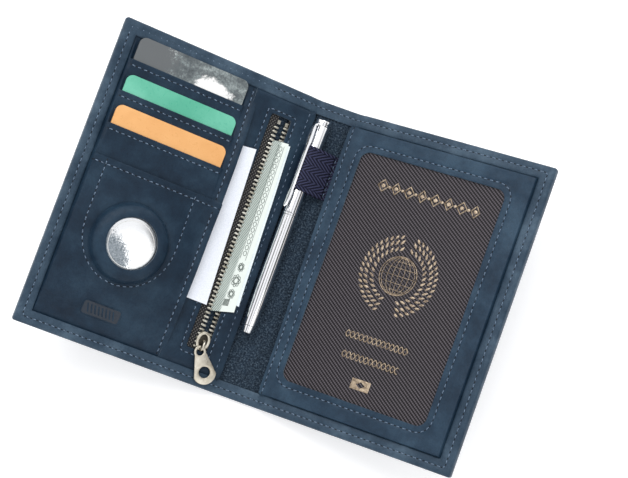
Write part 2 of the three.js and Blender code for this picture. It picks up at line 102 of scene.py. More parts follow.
def bent(side, s, v, w):
    """World place in mm of cover coordinates. side is -1 on the left and +1 on the right."""
    s, v, w = (np.asarray(a, float) for a in np.broadcast_arrays(s, v, w))
    radius = FOLD_REACH / math.tan(FOLD / 2)
    turn = FOLD * np.clip((s - FOLD_S + FOLD_REACH) / (2 * FOLD_REACH), 0, 1)
    arc_x = FOLD_S - FOLD_REACH + radius * np.sin(turn)
    arc_z = radius * (1 - np.cos(turn))
    past = s - FOLD_S
    x = np.where(s < FOLD_S - FOLD_REACH, s, arc_x)
    z = np.where(s < FOLD_S - FOLD_REACH, 0, arc_z)
    x = np.where(past > FOLD_REACH, FOLD_S + past * math.cos(FOLD), x)
    z = np.where(past > FOLD_REACH, past * math.sin(FOLD), z)
    x = x - w * np.sin(turn)
    z = z + w * np.cos(turn)
    return np.stack([side * x, v - PAGE_H / 2, z], -1)


def on_cover(side, u, v, w):
    """World place on a cover that stays straight past its fold line, u from the fold line."""
    u, v, w = (np.asarray(a, float) for a in np.broadcast_arrays(u, v, w))
    x = FOLD_S + u * math.cos(FOLD) - w * math.sin(FOLD)
    z = u * math.sin(FOLD) + w * math.cos(FOLD)
    return np.stack([side * x, v - PAGE_H / 2, z], -1)


def laid(side, points, lay=on_cover):
    """Places an array of cover coordinates, whose last axis holds the three numbers."""
    return lay(side, *np.moveaxis(np.asarray(points, float), -1, 0))


def cover_direction(side):
    return Vector((side * math.cos(FOLD), 0, math.sin(FOLD)))


def cover_normal(side):
    return Vector((-side * math.sin(FOLD), 0, math.cos(FOLD)))


# ------------------------------------------------------------------ paths in the plane
def turns(count):
    """Angles evenly spread over one turn."""
    return [2 * math.pi * k / count for k in range(count)]


def run_along(path):
    """Distance from the start of a path to each of its points."""
    return np.concatenate([[0], np.cumsum(np.hypot(*(path[1:] - path[:-1]).T))])


def at_run(path, run, distance):
    return np.stack([np.interp(distance, run, path[:, k]) for k in (0, 1)], -1)


def directions(start, end):
    """Unit vectors along a step in the plane and across it."""
    along = (end - start) / max(np.hypot(*(end - start)), 1e-6)
    return along, np.array([-along[1], along[0]])


def close_loop(points):
    return np.concatenate([points, points[:1]])


def even_loop(points, count):
    """The same closed outline with evenly spaced points."""
    path = close_loop(points)
    run = run_along(path)
    return at_run(path, run, np.linspace(0, run[-1], count, endpoint=False))


def oval(centre, half_x, half_y, count=64):
    t = np.linspace(0, 2 * math.pi, count, endpoint=False)
    return np.stack([centre[0] + half_x * np.cos(t), centre[1] + half_y * np.sin(t)], -1)


def line(a, b, step=1.0):
    a, b = np.asarray(a, float), np.asarray(b, float)
    count = max(2, int(np.hypot(*(b - a)) / step) + 1)
    return [tuple(mix(a, b, t)) for t in np.linspace(0, 1, count)]


def rounded_loop(low, high, radius, per_side, per_corner):
    """Closed outline of a rounded rectangle as (x, y), counter-clockwise from the bottom side."""
    (x0, y0), (x1, y1) = low, high
    r = max(radius, 1e-3)
    points = []
    sides = [((x0 + r, y0), (x1 - r, y0)), ((x1, y0 + r), (x1, y1 - r)),
             ((x1 - r, y1), (x0 + r, y1)), ((x0, y1 - r), (x0, y0 + r))]
    centres = [(x1 - r, y0 + r), (x1 - r, y1 - r), (x0 + r, y1 - r), (x0 + r, y0 + r)]
    for k, ((ax, ay), (bx, by)) in enumerate(sides):
        for t in np.linspace(0, 1, per_side, endpoint=False):
            points.append((mix(ax, bx, t), mix(ay, by, t)))
        start = -math.pi / 2 + k * math.pi / 2
        for t in np.linspace(0, 1, per_corner, endpoint=False):
            a = start + t * math.pi / 2
            points.append((centres[k][0] + r * math.cos(a), centres[k][1] + r * math.sin(a)))
    return np.array(points)


# ------------------------------------------------------------------ mesh helpers
def make(name, points, faces, materials, indices=None):
    mesh = bpy.data.meshes.new(name)
    points = np.asarray(points, float).reshape(-1, 3) * MM
    mesh.from_pydata([tuple(p) for p in points], [], [tuple(int(i) for i in f) for f in faces])
    for material in materials if isinstance(materials, (list, tuple)) else [materials]:
        mesh.materials.append(material)
    if indices is not None:
        mesh.polygons.foreach_set("material_index", np.asarray(indices, np.int32))
    obj = bpy.data.objects.new(name, mesh)
    bpy.context.scene.collection.objects.link(obj)
    bm = bmesh.new()
    bm.from_mesh(mesh)
    bmesh.ops.remove_doubles(bm, verts=bm.verts, dist=2e-6)
    bmesh.ops.recalc_face_normals(bm, faces=bm.faces)
    bm.to_mesh(mesh)
    bm.free()
    mesh.polygons.foreach_set("use_smooth", [True] * len(mesh.polygons))
    mesh.update()
    return obj


def apply_modifiers(obj):
    graph = bpy.context.evaluated_depsgraph_get()
    fresh = bpy.data.meshes.new_from_object(obj.evaluated_get(graph))
    obj.modifiers.clear()
    obj.data = fresh
    return obj


def bevel(obj, width, segments=2, angle=40):
    modifier = obj.modifiers.new("bevel", "BEVEL")
    modifier.width = width * MM
    modifier.segments = segments
    modifier.limit_method = "ANGLE"
    modifier.angle_limit = math.radians(angle)
    modifier.use_clamp_overlap = True
    apply_modifiers(obj)
    obj.data.polygons.foreach_set("use_smooth", [True] * len(obj.data.polygons))
    return sharpen(obj)


def sharpen(obj, angle=42):
    obj.data.set_sharp_from_angle(angle=math.radians(angle))
    return obj


def quads(rows, cols, start=0, wrap=False):
    """Faces of a grid stored row by row; wrap closes each row on itself."""
    faces = []
    for i in range(rows - 1):
        for j in range(cols if wrap else cols - 1):
            k = (j + 1) % cols
            a = start + i * cols
            faces.append((a + j, a + k, a + cols + k, a + cols + j))
    return faces


def capped(rows, cols, start=0):
    """Faces of a closed tube stored ring by ring, with a flat cap on each end."""
    last = start + (rows - 1) * cols
    return quads(rows, cols, start, True) + [tuple(range(a, a + cols)) for a in (start, last)]


def two_sided(rows, cols, wrap=False):
    """Faces of two equal grids, the second stored after the first, and the walls between them."""
    count = rows * cols
    faces = quads(rows, cols, 0, wrap) + quads(rows, cols, count, wrap)
    last = count - cols
    walls = []
    for j in range(cols if wrap else cols - 1):
        k = (j + 1) % cols
        walls.append((j, k, count + k, count + j))
        walls.append((last + j, last + k, count + last + k, count + last + j))
    if not wrap:
        for i in range(rows - 1):
            for a in (i * cols, (i + 1) * cols - 1):
                walls.append((a, a + cols, count + a + cols, count + a))
    return faces, walls


def slab(name, place, thickness, materials, wrap=False, edge=0, lay=on_cover):
    """A sheet from a grid of tops (rows, columns, 3), with its own thickness and cut edges.

    place is (grid, side). lay maps the grid's three numbers to the object."""
    grid, side = place
    faces, walls = two_sided(*grid.shape[:2], wrap)
    points = [laid(side, level, lay).reshape(-1, 3) for level in (grid, grid - (0, 0, thickness))]
    indices = [0] * len(faces) + [1] * len(walls)
    obj = make(name, np.concatenate(points), faces + walls, materials, indices)
    return bevel(obj, edge) if edge else sharpen(obj)


def lathe(name, profile, axis_point, axis, material, segments, closed=True):
    """Turns a list of (radius, distance along the axis) about an axis, all in mm."""
    axis = Vector(axis).normalized()
    across = axis.orthogonal().normalized()
    other = axis.cross(across)
    points = []
    for r, h in profile:
        for a in turns(segments):
            spoke = across * math.cos(a) + other * math.sin(a)
            points.append(Vector(axis_point) + axis * h + spoke * max(r, 1e-4))
    rows = len(profile)
    faces = quads(rows, segments, 0, True)
    if closed:
        faces += [((rows - 1) * segments + i, (rows - 1) * segments + (i + 1) % segments,
                   (i + 1) % segments, i) for i in range(segments)]
    obj = make(name, [tuple(p) for p in points], faces, material)
    return sharpen(obj, 34)


def tube(name, centres, radius, material, sides):
    """A round tube through points in mm, closed at both ends."""
    centres = [Vector(c) for c in centres]
    points, side_vector = [], None
    for i, c in enumerate(centres):
        ahead = centres[min(i + 1, len(centres) - 1)] - centres[max(i - 1, 0)]
        ahead.normalize()
        if side_vector is None:
            side_vector = ahead.orthogonal()
        side_vector = (side_vector - ahead * side_vector.dot(ahead)).normalized()
        other = ahead.cross(side_vector)
        for a in turns(sides):
            points.append(c + (side_vector * math.cos(a) + other * math.sin(a)) * radius)
    return make(name, [tuple(p) for p in points], capped(len(centres), sides), material)


def merge(name, pieces):
    """Joins meshes into one piece, keeping their materials."""
    bm = bmesh.new()
    slots = []
    for piece in pieces:
        shift = []
        for material in piece.data.materials:
            if material not in slots:
                slots.append(material)
            shift.append(slots.index(material))
        first = len(bm.faces)
        bm.from_mesh(piece.data)
        bm.faces.ensure_lookup_table()
        for face in bm.faces[first:]:
            face.material_index = shift[face.material_index]
    mesh = bpy.data.meshes.new(name)
    bm.to_mesh(mesh)
    bm.free()
    for material in slots:
        mesh.materials.append(material)
    for piece in pieces:
        bpy.data.objects.remove(piece)
    obj = bpy.data.objects.new(name, mesh)
    bpy.context.scene.collection.objects.link(obj)
    return obj


def flat_shape(name, loops, thickness, rounding, material, place):
    """A plate with rounded edges from closed outlines, the later ones holes in the first.

    place maps an (n, 3) array of outline x, y and height to millimetres in the world."""
    curve = bpy.data.curves.new(name, "CURVE")
    curve.dimensions = "2D"
    curve.fill_mode = "BOTH"
    curve.extrude = thickness / 2 - rounding
    curve.bevel_depth = rounding
    curve.bevel_resolution = 2
    curve.offset = -rounding
    for loop in loops:
        spline = curve.splines.new("POLY")
        spline.points.add(len(loop) - 1)
        spline.use_cyclic_u = True
        spline.points.foreach_set("co", [c for x, y in loop for c in (x, y, 0, 1)])
    drawn = bpy.data.objects.new(name, curve)
    bpy.context.scene.collection.objects.link(drawn)
    graph = bpy.context.evaluated_depsgraph_get()
    mesh = bpy.data.meshes.new_from_object(drawn.evaluated_get(graph))
    points = np.zeros(len(mesh.vertices) * 3)
    mesh.vertices.foreach_get("co", points)
    faces = [tuple(p.vertices) for p in mesh.polygons]
    bpy.data.objects.remove(drawn)
    return sharpen(make(name, place(points.reshape(-1, 3)), faces, material), 50)


def flat_on(side, height):
    """Places an outline drawn in (u, v) on a cover at this height of its middle."""
    return lambda p: on_cover(side, p[:, 0], p[:, 1], height + p[:, 2])


# ------------------------------------------------------------------ materials
def srgb(red, green, blue):
    def linear(c):
        c /= 255
        return c / 12.92 if c <= 0.04045 else ((c + 0.055) / 1.055) ** 2.4

    return (linear(red), linear(green), linear(blue), 1)


class Nodes:
    """Short names for building one node material."""

    def __init__(self, name, **sockets):
        self.material = bpy.data.materials.new(name)
        self.material.use_nodes = True
        self.tree = self.material.node_tree
        self.shader = self.tree.nodes["Principled BSDF"]
        for key, value in sockets.items():
            self.shader.inputs[key.replace("_", " ")].default_value = value
        self.place = self.add("ShaderNodeTexCoord").outputs["Object"]

    def add(self, kind, **settings):
        node = self.tree.nodes.new(kind)
        for key, value in settings.items():
            setattr(node, key, value)
        return node

    def link(self, source, target):
        self.tree.links.new(source, target)

    def scaled(self, factors, turn=(0, 0, 0)):
        node = self.add("ShaderNodeMapping")
        node.inputs["Scale"].default_value = factors
        node.inputs["Rotation"].default_value = turn
        self.link(self.place, node.inputs["Vector"])
        return node.outputs["Vector"]

    def turned(self, angle):
        return self.scaled((1, 1, 1), (0, 0, angle))

    def noise(self, per_mm, detail=4, rough=0.55, vector=None):
        node = self.add("ShaderNodeTexNoise")
        node.inputs["Scale"].default_value = per_mm / MM
        node.inputs["Detail"].default_value = detail
        node.inputs["Roughness"].default_value = rough
        self.link(vector or self.place, node.inputs["Vector"])
        return node.outputs["Fac"]

    def cells(self, per_mm, feature="F1", vector=None):
        node = self.add("ShaderNodeTexVoronoi", feature=feature)
        node.inputs["Scale"].default_value = per_mm / MM
        self.link(vector or self.place, node.inputs["Vector"])
        return node.outputs["Distance"]

    def waves(self, per_mm, vector=None, direction="X", distortion=0.0):
        node = self.add("ShaderNodeTexWave", bands_direction=direction)
        node.inputs["Scale"].default_value = per_mm / MM / math.pi
        node.inputs["Distortion"].default_value = distortion
        self.link(vector or self.place, node.inputs["Vector"])
        return node.outputs["Fac"]

    def ramp(self, source, stops):
        node = self.add("ShaderNodeValToRGB")
        elements = node.color_ramp.elements
        while len(elements) < len(stops):
            elements.new(0.5)
        for element, (at, colour) in zip(elements, stops):
            element.position = at
            element.color = colour if isinstance(colour, tuple) else (colour,) * 3 + (1,)
        self.link(source, node.inputs["Fac"])
        return node.outputs["Color"]

    def near(self, centre, reach, ragged):
        """1 close to a place in metres, falling to 0 past its reach, with a ragged border."""
        node = self.add("ShaderNodeMapping")
        node.inputs["Location"].default_value = [-c / r for c, r in zip(centre, reach)]
        node.inputs["Scale"].default_value = [1 / r for r in reach]
        self.link(self.place, node.inputs["Vector"])
        size = self.add("ShaderNodeVectorMath", operation="LENGTH")
        self.link(node.outputs["Vector"], size.inputs[0])
        edge = self.math("ADD", self.math("MULTIPLY", size.outputs["Value"], 0.5), ragged)
        return self.ramp(edge, [(0.88, 1.0), (1.0, 0.0)])

    def math(self, operation, a, b):
        node = self.add("ShaderNodeMath", operation=operation)
        for socket, value in zip(node.inputs, (a, b)):
            if isinstance(value, (int, float)):
                socket.default_value = value
            else:
                self.link(value, socket)
        return node.outputs[0]

    def blend(self, amount, a, b, mode="MIX"):
        node = self.add("ShaderNodeMix", data_type="RGBA", blend_type=mode)
        for socket, value in zip((node.inputs[0], node.inputs[6], node.inputs[7]), (amount, a, b)):
            if isinstance(value, (int, float, tuple)):
                socket.default_value = value
            else:
                self.link(value, socket)
        return node.outputs[2]

    def bump(self, height, distance, strength=1.0, under=None):
        node = self.add("ShaderNodeBump")
        node.inputs["Strength"].default_value = strength
        node.inputs["Distance"].default_value = distance * MM
        self.link(height, node.inputs["Height"])
        if under is not None:
            self.link(under, node.inputs["Normal"])
        return node.outputs["Normal"]

    def finish(self, colour=None, rough=None, normal=None):
        for name, source in (("Base Color", colour), ("Roughness", rough), ("Normal", normal)):
            if source is not None:
                self.link(source, self.shader.inputs[name])
        return self.material


def leather(name, dark, mid, light):
    """Pebbled grain over broad clouds of wear, with fine pores, and painted shade darkening the creases
    between the pebbles.
    """
    n = Nodes(name, Specular_IOR_Level=0.22)
    broad = n.noise(0.06, 7, 0.66)
    fine = n.noise(1.6, 5, 0.6)
    pebbles = n.cells(1.9, "SMOOTH_F1", n.scaled((1, 0.9, 1)))
    pores = n.cells(0.75)
    tone = n.ramp(broad, [(0.34, dark), (0.5, mid), (0.66, light)])
    speckle = n.ramp(fine, [(0.34, 0.72), (0.5, 0.97), (0.68, 1.0)])
    tone = n.blend(0.75, tone, speckle, "MULTIPLY")
    # painted shade: the colour darkens towards the creases between the pebbles
    crease_shade = n.ramp(pebbles, [(0.0, 1.0), (0.55, 0.93), (0.9, 0.7)])
    tone = n.blend(0.5, tone, crease_shade, "MULTIPLY")
    gloss = n.ramp(n.noise(0.5, 4), [(0.3, 0.42), (0.7, 0.62)])
    first = n.bump(pebbles, -0.055, 0.8)
    second = n.bump(fine, 0.05, 0.7, first)
    third = n.bump(n.ramp(pores, [(0.0, 0.0), (0.16, 1.0)]), 0.02, 0.6, second)
    wrinkles = n.bump(broad, 0.5, 0.25, third)
    return n.finish(tone, gloss, wrinkles)


def cut_edge(name):
    n = Nodes(name, Roughness=0.8)
    fibres = n.noise(3.0, 4, 0.7, n.scaled((1, 1, 3)))
    tone = n.ramp(fibres, [(0.3, srgb(52, 64, 78)), (0.62, srgb(104, 118, 130))])
    return n.finish(tone, None, n.bump(fibres, 0.06))


def thread(name):
    n = Nodes(name, Roughness=0.55)
    twist = n.waves(2.4, n.scaled((1, 1, 1), (0.5, 0.4, 0.7)), "DIAGONAL")
    tone = n.ramp(twist, [(0.1, srgb(52, 70, 92)), (0.6, srgb(118, 138, 160))])
    return n.finish(tone, None, n.bump(twist, 0.08))


def lining_cloth(name):
    n = Nodes(name, Roughness=0.92, Specular_IOR_Level=0.2, Sheen_Weight=0.1)
    nap = n.noise(1.3, 6, 0.72)
    flecks = n.noise(0.42, 3, 0.6)
    tone = n.ramp(nap, [(0.32, srgb(10, 19, 28)), (0.5, srgb(32, 47, 62)), (0.68, srgb(92, 108, 122))])
    tone = n.blend(0.45, tone, n.ramp(flecks, [(0.35, 0.4), (0.65, 1.0)]), "MULTIPLY")
    return n.finish(tone, None, n.bump(nap, 0.16, 0.9))


def tape_cloth(name):
    """Black twill tape with pale flecks where its floats catch the light."""
    n = Nodes(name, Roughness=0.8)
    weave = n.math("MULTIPLY", n.waves(0.95, n.turned(0.55)), n.waves(0.95, n.turned(-0.75)))
    fleck = n.math("MULTIPLY", weave, n.noise(1.4, 3))
    tone = n.ramp(fleck, [(0.16, srgb(12, 12, 15)), (0.42, srgb(104, 102, 98))])
    return n.finish(tone, None, n.bump(weave, 0.12, 0.9))


def elastic_cloth(name):
    """Narrow woven elastic whose ribs change their slant from one band to the next."""
    n = Nodes(name, Roughness=0.75, Specular_IOR_Level=0.25)
    one, other = (n.waves(0.8, n.turned(slant)) for slant in (0.95, -0.95))
    rows = n.ramp(n.waves(0.14, None, "Y"), [(0.46, 0.0), (0.54, 1.0)])
    ribs = n.math("ADD", n.math("MULTIPLY", one, rows),
                  n.math("MULTIPLY", other, n.math("SUBTRACT", 1.0, rows)))
    yarn = n.waves(2.6, None, "Y", 1.2)
    tone = n.ramp(ribs, [(0.3, srgb(16, 17, 38)), (0.95, srgb(64, 68, 98))])
    tone = n.blend(0.4, tone, n.ramp(yarn, [(0.2, 0.5), (0.8, 1.0)]), "MULTIPLY")
    return n.finish(tone, None, n.bump(yarn, 0.05, 0.6, n.bump(ribs, 0.15, 0.8)))


def metal(name, colour, rough, scratches, wear=None):
    n = Nodes(name, Metallic=1.0)
    lines = n.noise(2.0, 3, 0.6, n.scaled((1, 0.06, 1), (0, 0, 0.3)))
    clouds = n.noise(0.22, 4)
    tone = n.ramp(clouds, [(0.3, wear or colour), (0.62, colour)])
    gloss = n.ramp(lines, [(0.3, rough * (1 - 0.35 * scratches)), (0.7, rough * (1 + scratches))])
    return n.finish(tone, gloss, n.bump(lines, 0.004, 0.5 * scratches))


def paper(name, low, high, fibre=0.05):
    n = Nodes(name, Roughness=0.86)
    pulp = n.noise(1.8, 5, 0.7)
    tone = n.ramp(pulp, [(0.3, low), (0.6, high)])
    return n.finish(tone, None, n.bump(pulp, fibre, 0.6))


def banknote_paper(name):
    """Pale green paper with a ruled tint, left plain along the strip nearest the spine."""
    n = Nodes(name, Roughness=0.85)
    axes = n.add("ShaderNodeSeparateXYZ")
    n.link(n.place, axes.inputs[0])
    strip = n.ramp(n.math("MULTIPLY", axes.outputs["X"], -25.0), [(0.475, 0.0), (0.495, 1.0)])
    ruled = n.waves(1.3, n.turned(0.34), "X", 1.5)
    patches = n.ramp(n.noise(0.07, 3), [(0.42, 0.15), (0.6, 0.9)])
    lines = n.ramp(ruled, [(0.2, 0.0), (0.5, 1.0)])
    ruled = n.math("MAXIMUM", lines, n.math("MULTIPLY", patches, 0.4))
    printed = n.blend(ruled, srgb(98, 112, 106), srgb(188, 198, 192))
    tone = n.blend(strip, srgb(232, 240, 234), printed)
    return n.finish(tone, None, n.bump(n.noise(1.4, 4), 0.02))


def card_face(name, low, high):
    n = Nodes(name, Coat_Weight=0.35, Coat_Roughness=0.12)
    clouds = n.noise(0.03, 6, 0.62)
    veins = n.noise(0.3, 5, 0.7)
    tone = n.ramp(clouds, [(0.36, low), (0.62, high)])
    gloss = n.ramp(n.noise(0.6, 3), [(0.3, 0.24), (0.7, 0.39)])
    return n.finish(tone, gloss, n.bump(veins, 0.01, 0.3))


# Places of single marks on their objects, in metres in the frame.
# Centre of the painted reflection that greys part of the tracker's steel cap.
CAP_PAINTED_REFLECTION = (-0.0762, -0.0350, 0.034)
# Centre of the painted highlight on the silver card.
SILVER_PAINTED_HIGHLIGHT = (-0.0565, 0.0555, 0.019)
SILVER_PLAIN = (-0.088, 0.06, 0.035)
TWILL = 2.2  # turn of the ribs in the passport's cloth


def silver_card(name):
    """Marbled metallic print that turns from dark on one side to a painted highlight, a bright cloud, on the
    other.
    """
    n = Nodes(name, Metallic=0.35, Roughness=0.28)
    clouds = n.noise(0.16, 8, 0.75)
    grain = n.noise(0.9, 5, 0.75)
    mottled = n.math("ADD", n.math("MULTIPLY", clouds, 0.7), n.math("MULTIPLY", grain, 0.3))
    foil = n.ramp(mottled, [(0.36, srgb(74, 80, 84)), (0.48, srgb(104, 112, 114)),
                            (0.56, srgb(146, 156, 156)), (0.68, srgb(214, 220, 218))])
    plain = n.near(SILVER_PLAIN, (0.016, 0.02, 0.02), grain)
    foil = n.blend(plain, foil, srgb(104, 108, 110))
    # painted highlight: a near-white cloud laid into the foil's colour
    painted_highlight = n.near(SILVER_PAINTED_HIGHLIGHT, (0.009, 0.0055, 0.02), clouds)
    foil = n.blend(painted_highlight, foil, srgb(252, 252, 250))
    return n.finish(foil, None, n.bump(grain, 0.008, 0.3))


def book_cloth(name):
    """Dark passport cover: fine slanting ribs over a faint weave."""
    n = Nodes(name, Roughness=0.6, Specular_IOR_Level=0.25)
    ribs = n.waves(0.78, n.turned(TWILL), "X", 0.25)
    cross = n.waves(1.1, n.turned(TWILL + math.pi / 2), "X", 0.3)
    pores = n.noise(1.1, 4, 0.6)
    weave = n.math("MULTIPLY", ribs, n.math("MULTIPLY_ADD", cross, 0.5))
    tone = n.ramp(weave, [(0.2, srgb(10, 8, 12)), (0.85, srgb(98, 92, 98))])
    tone = n.blend(0.35, tone, n.ramp(pores, [(0.3, 0.6), (0.7, 1.0)]), "MULTIPLY")
    return n.finish(tone, None, n.bump(pores, 0.05, 0.5, n.bump(weave, 0.07, 0.7)))


def gold_foil(name):
    n = Nodes(name, Metallic=0.75, Roughness=0.42)
    worn = n.noise(0.8, 5, 0.7)
    tone = n.ramp(worn, [(0.34, srgb(96, 82, 70)), (0.5, srgb(160, 143, 122)), (0.7, srgb(200, 184, 160))])
    return n.finish(tone, None, n.bump(worn, 0.02))


def tag_cap_steel(name):
    """Polished steel with fine scuffs; the grey patch towards the lower outer side is a painted reflection,
    also made rougher.
    """
    n = Nodes(name, Metallic=0.9)
    scuffs_and_reflection = n.noise(1.6, 5, 0.75)
    reflection_patch = n.near(CAP_PAINTED_REFLECTION, (0.0122, 0.0122, 0.05), n.math("MULTIPLY", scuffs_and_reflection, 0.7))
    reflected_grey = n.ramp(scuffs_and_reflection, [(0.35, srgb(96, 106, 114)), (0.65, srgb(176, 184, 190))])
    # painted reflection: the cap's colour turns grey inside the patch
    tone = n.blend(reflection_patch, srgb(244, 246, 247), reflected_grey)
    gloss = n.ramp(reflection_patch, [(0.0, 0.14), (1.0, 0.5)])
    return n.finish(tone, gloss, n.bump(scuffs_and_reflection, 0.03, 0.5))


def plastic(name, colour, rough=0.3):
    n = Nodes(name)
    mottle = n.noise(0.9, 4)
    low = tuple(c * 0.9 for c in colour[:3]) + (1,)
    gloss = n.ramp(mottle, [(0.3, rough * 0.8), (0.7, rough * 1.25)])
    return n.finish(n.ramp(mottle, [(0.3, low), (0.7, colour)]), gloss, n.bump(mottle, 0.01, 0.4))


def floor_paint(name):
    n = Nodes(name, Roughness=0.9, Emission_Color=(1, 1, 1, 1), Emission_Strength=0.3)
    return n.finish(n.ramp(n.noise(0.02, 3), [(0.3, 0.93), (0.7, 0.95)]))


MAT = {
    "outer": leather("outer_leather", srgb(38, 57, 74), srgb(54, 73, 90), srgb(76, 96, 113)),
    "inner": leather("inner_leather", srgb(14, 33, 50), srgb(23, 44, 62), srgb(36, 58, 76)),
    "window": leather("window_leather", srgb(24, 44, 62), srgb(35, 57, 76), srgb(50, 73, 92)),
    "edge": cut_edge("leather_cut_edge"),
    "thread": thread("stitch_thread"),
    "lining": lining_cloth("lining_cloth"),
    "tape": tape_cloth("zip_tape_cloth"),
    "elastic": elastic_cloth("pen_loop_elastic"),
    "brass": metal("zip_brass", srgb(206, 204, 194), 0.32, 0.6, srgb(128, 122, 104)),
    "nickel": metal("satin_nickel", srgb(216, 210, 196), 0.3, 0.5, srgb(176, 168, 150)),
    "chrome": metal("pen_chrome", srgb(246, 247, 249), 0.09, 0.08),
    "steel": tag_cap_steel("tag_steel"),
    "paper": paper("white_paper", srgb(226, 232, 243), srgb(243, 247, 254)),
    "note": banknote_paper("banknote_paper"),
    "engraving": plastic("engraving_ink", srgb(92, 104, 98), 0.7),
    "margin": paper("note_margin", srgb(222, 234, 240), srgb(236, 246, 248)),
    "silver": silver_card("card_silver"),
    "green": card_face("card_green", srgb(76, 172, 142), srgb(108, 194, 166)),
    "orange": card_face("card_orange", srgb(222, 158, 88), srgb(236, 178, 112)),
    "book": book_cloth("passport_cloth"),
    "gold": gold_foil("gold_print"),
    "white": plastic("white_plastic", srgb(236, 236, 234)),
    "board": paper("grey_board", srgb(120, 106, 84), srgb(158, 142, 116), 0.1),
    "foil": metal("shield_foil", srgb(168, 168, 164), 0.4, 0.8),
    "pcb": plastic("circuit_board_green", srgb(38, 96, 58), 0.45),
    "ink": plastic("badge_ink", srgb(30, 41, 54), 0.55),
    # The stitch holes' dark colour is painted shade.
    "hole": plastic("stitch_hole_shade", srgb(14, 19, 27), 0.9),
    "well": metal("slider_dark_recess", srgb(74, 70, 62), 0.5, 0.5, srgb(34, 32, 30)),
}


def recolour(node, key, rounding=0.0):
    """Gives a carried-over CAD node its procedural material and softened edges."""
    obj = frame["nodes"][node]
    obj.data.materials.clear()
    obj.data.materials.append(MAT[key])
    if rounding:
        modifier = obj.modifiers.new("softened", "BEVEL")
        modifier.width = rounding * MM
        modifier.segments = 2
        modifier.limit_method = "ANGLE"
        modifier.angle_limit = math.radians(50)


# ------------------------------------------------------------------ stitching
PITCH = 2.9  # from one stitch to the next
GAP = 1.15  # between two stitches
THREAD = 0.5  # width of the thread
THREAD_RINGS = [(0.0, 0.45, -0.32), (0.14, 0.85, 0.02), (0.5, 1.0, 0.2), (0.86, 0.85, 0.02),
                (1.0, 0.45, -0.32)]  # share of the length, share of the width, lift
# Each stitch hole is a dark disc of painted shade on a dome barely above the surface.
HOLE_RINGS = [(1.0, 0.015), (0.8, 0.05), (0.01, 0.03)]  # share of the size, rise


def on_panel(side, s, v, w):
    return on_cover(side, s - FOLD_S, v, w)


def stitch_line(name, path, height, body, side=1, lay=bent, under=False):
    """Stitches along a path of (s, v) points, with a punched hole between each pair, drawn as a dark disc of
    painted shade.

    height(s, v) gives the surface that they lie on; under turns them to its other side."""
    path = np.asarray(path, float)
    run = run_along(path)
    count = max(1, int(round(run[-1] / PITCH)))
    real = run[-1] / count
    facing = -1 if under else 1
    points, faces = [], []

    def add(spot, rise):
        points.append((spot[0], spot[1], float(height(spot[0], spot[1])) + facing * rise))

    for i in range(count):
        begin = at_run(path, run, i * real + GAP / 2)
        end = at_run(path, run, (i + 1) * real - GAP / 2)
        across = directions(begin, end)[1]
        lean = across * RNG.uniform(-0.07, 0.13)
        faces += capped(len(THREAD_RINGS), 6, len(points))
        for t, size, lift in THREAD_RINGS:
            centre = mix(begin - lean, end + lean, t)
            for a in turns(6):
                spot = centre + across * math.cos(a) * THREAD / 2 * size
                add(spot, lift + math.sin(a) * THREAD * 0.42 * size)
    threads = len(faces)
    # painted shade: a dark disc at each hole
    for i in range(count + 1):
        middle = at_run(path, run, i * real)
        along, across = directions(at_run(path, run, i * real - 0.4), at_run(path, run, i * real + 0.4))
        faces += quads(len(HOLE_RINGS), 8, len(points), True)
        for size, rise in HOLE_RINGS:
            for a in turns(8):
                out = along * math.cos(a) * GAP * 0.46 + across * math.sin(a) * THREAD * 0.52
                add(middle + out * size, rise)
    indices = [0] * threads + [1] * (len(faces) - threads)
    obj = make(name, laid(side, points, lay), faces, [MAT["thread"], MAT["hole"]], indices)
    if body:
        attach(obj, body)
    return obj


# ------------------------------------------------------------------ outer leather with its hems
def hem_lift(s):
    """How tall the turned edge is above the leather: low on the spine, full on the covers."""
    low = (SPINE_HEM_TOP - LEATHER) / (HEM_TOP - LEATHER)
    return mix(low, 1.0, smooth(s, FOLD_S - 3, FOLD_S + 4))


def hem_surface(s, v):
    """Height of the hem's top at a place in the hem band."""
    inward = np.minimum(np.minimum(v, PAGE_H - v), EDGE_S - np.asarray(s, float))
    crown = 0.14 * np.sin(np.clip(inward / HEM, 0, 1) * math.pi)
    groove = 0.2 * np.exp(-(((inward - HEM_SEAM) / 0.55) ** 2))
    ripple = 0.07 * np.sin(np.asarray(s) * 0.21 + np.asarray(v) * 0.17)
    top = HEM_TOP + crown - groove + ripple
    return LEATHER + (top - LEATHER) * hem_lift(s)


def hem_ring(inward, corner):
    """Points at one distance inside the outline, from the spine round to the spine."""
    near = np.concatenate([np.linspace(0, FOLD_S - 5, 6), np.linspace(FOLD_S - 4, FOLD_S + 6, 12)])
    far_s = EDGE_S - inward
    r = max(corner - inward, 0.02)
    low = [(s, inward) for s in near]
    low += [(s, inward) for s in np.linspace(near[-1], far_s - r, 44)[1:]]
    turn = [(far_s - r + r * math.sin(a), inward + r - r * math.cos(a))
            for a in np.linspace(0, math.pi / 2, 7)[1:]]
    side = [(far_s, v) for v in np.linspace(inward + r, PAGE_H / 2, 32)[1:]]
    half = low + turn + side
    return half + [(s, PAGE_H - v) for s, v in reversed(half[:-1])]


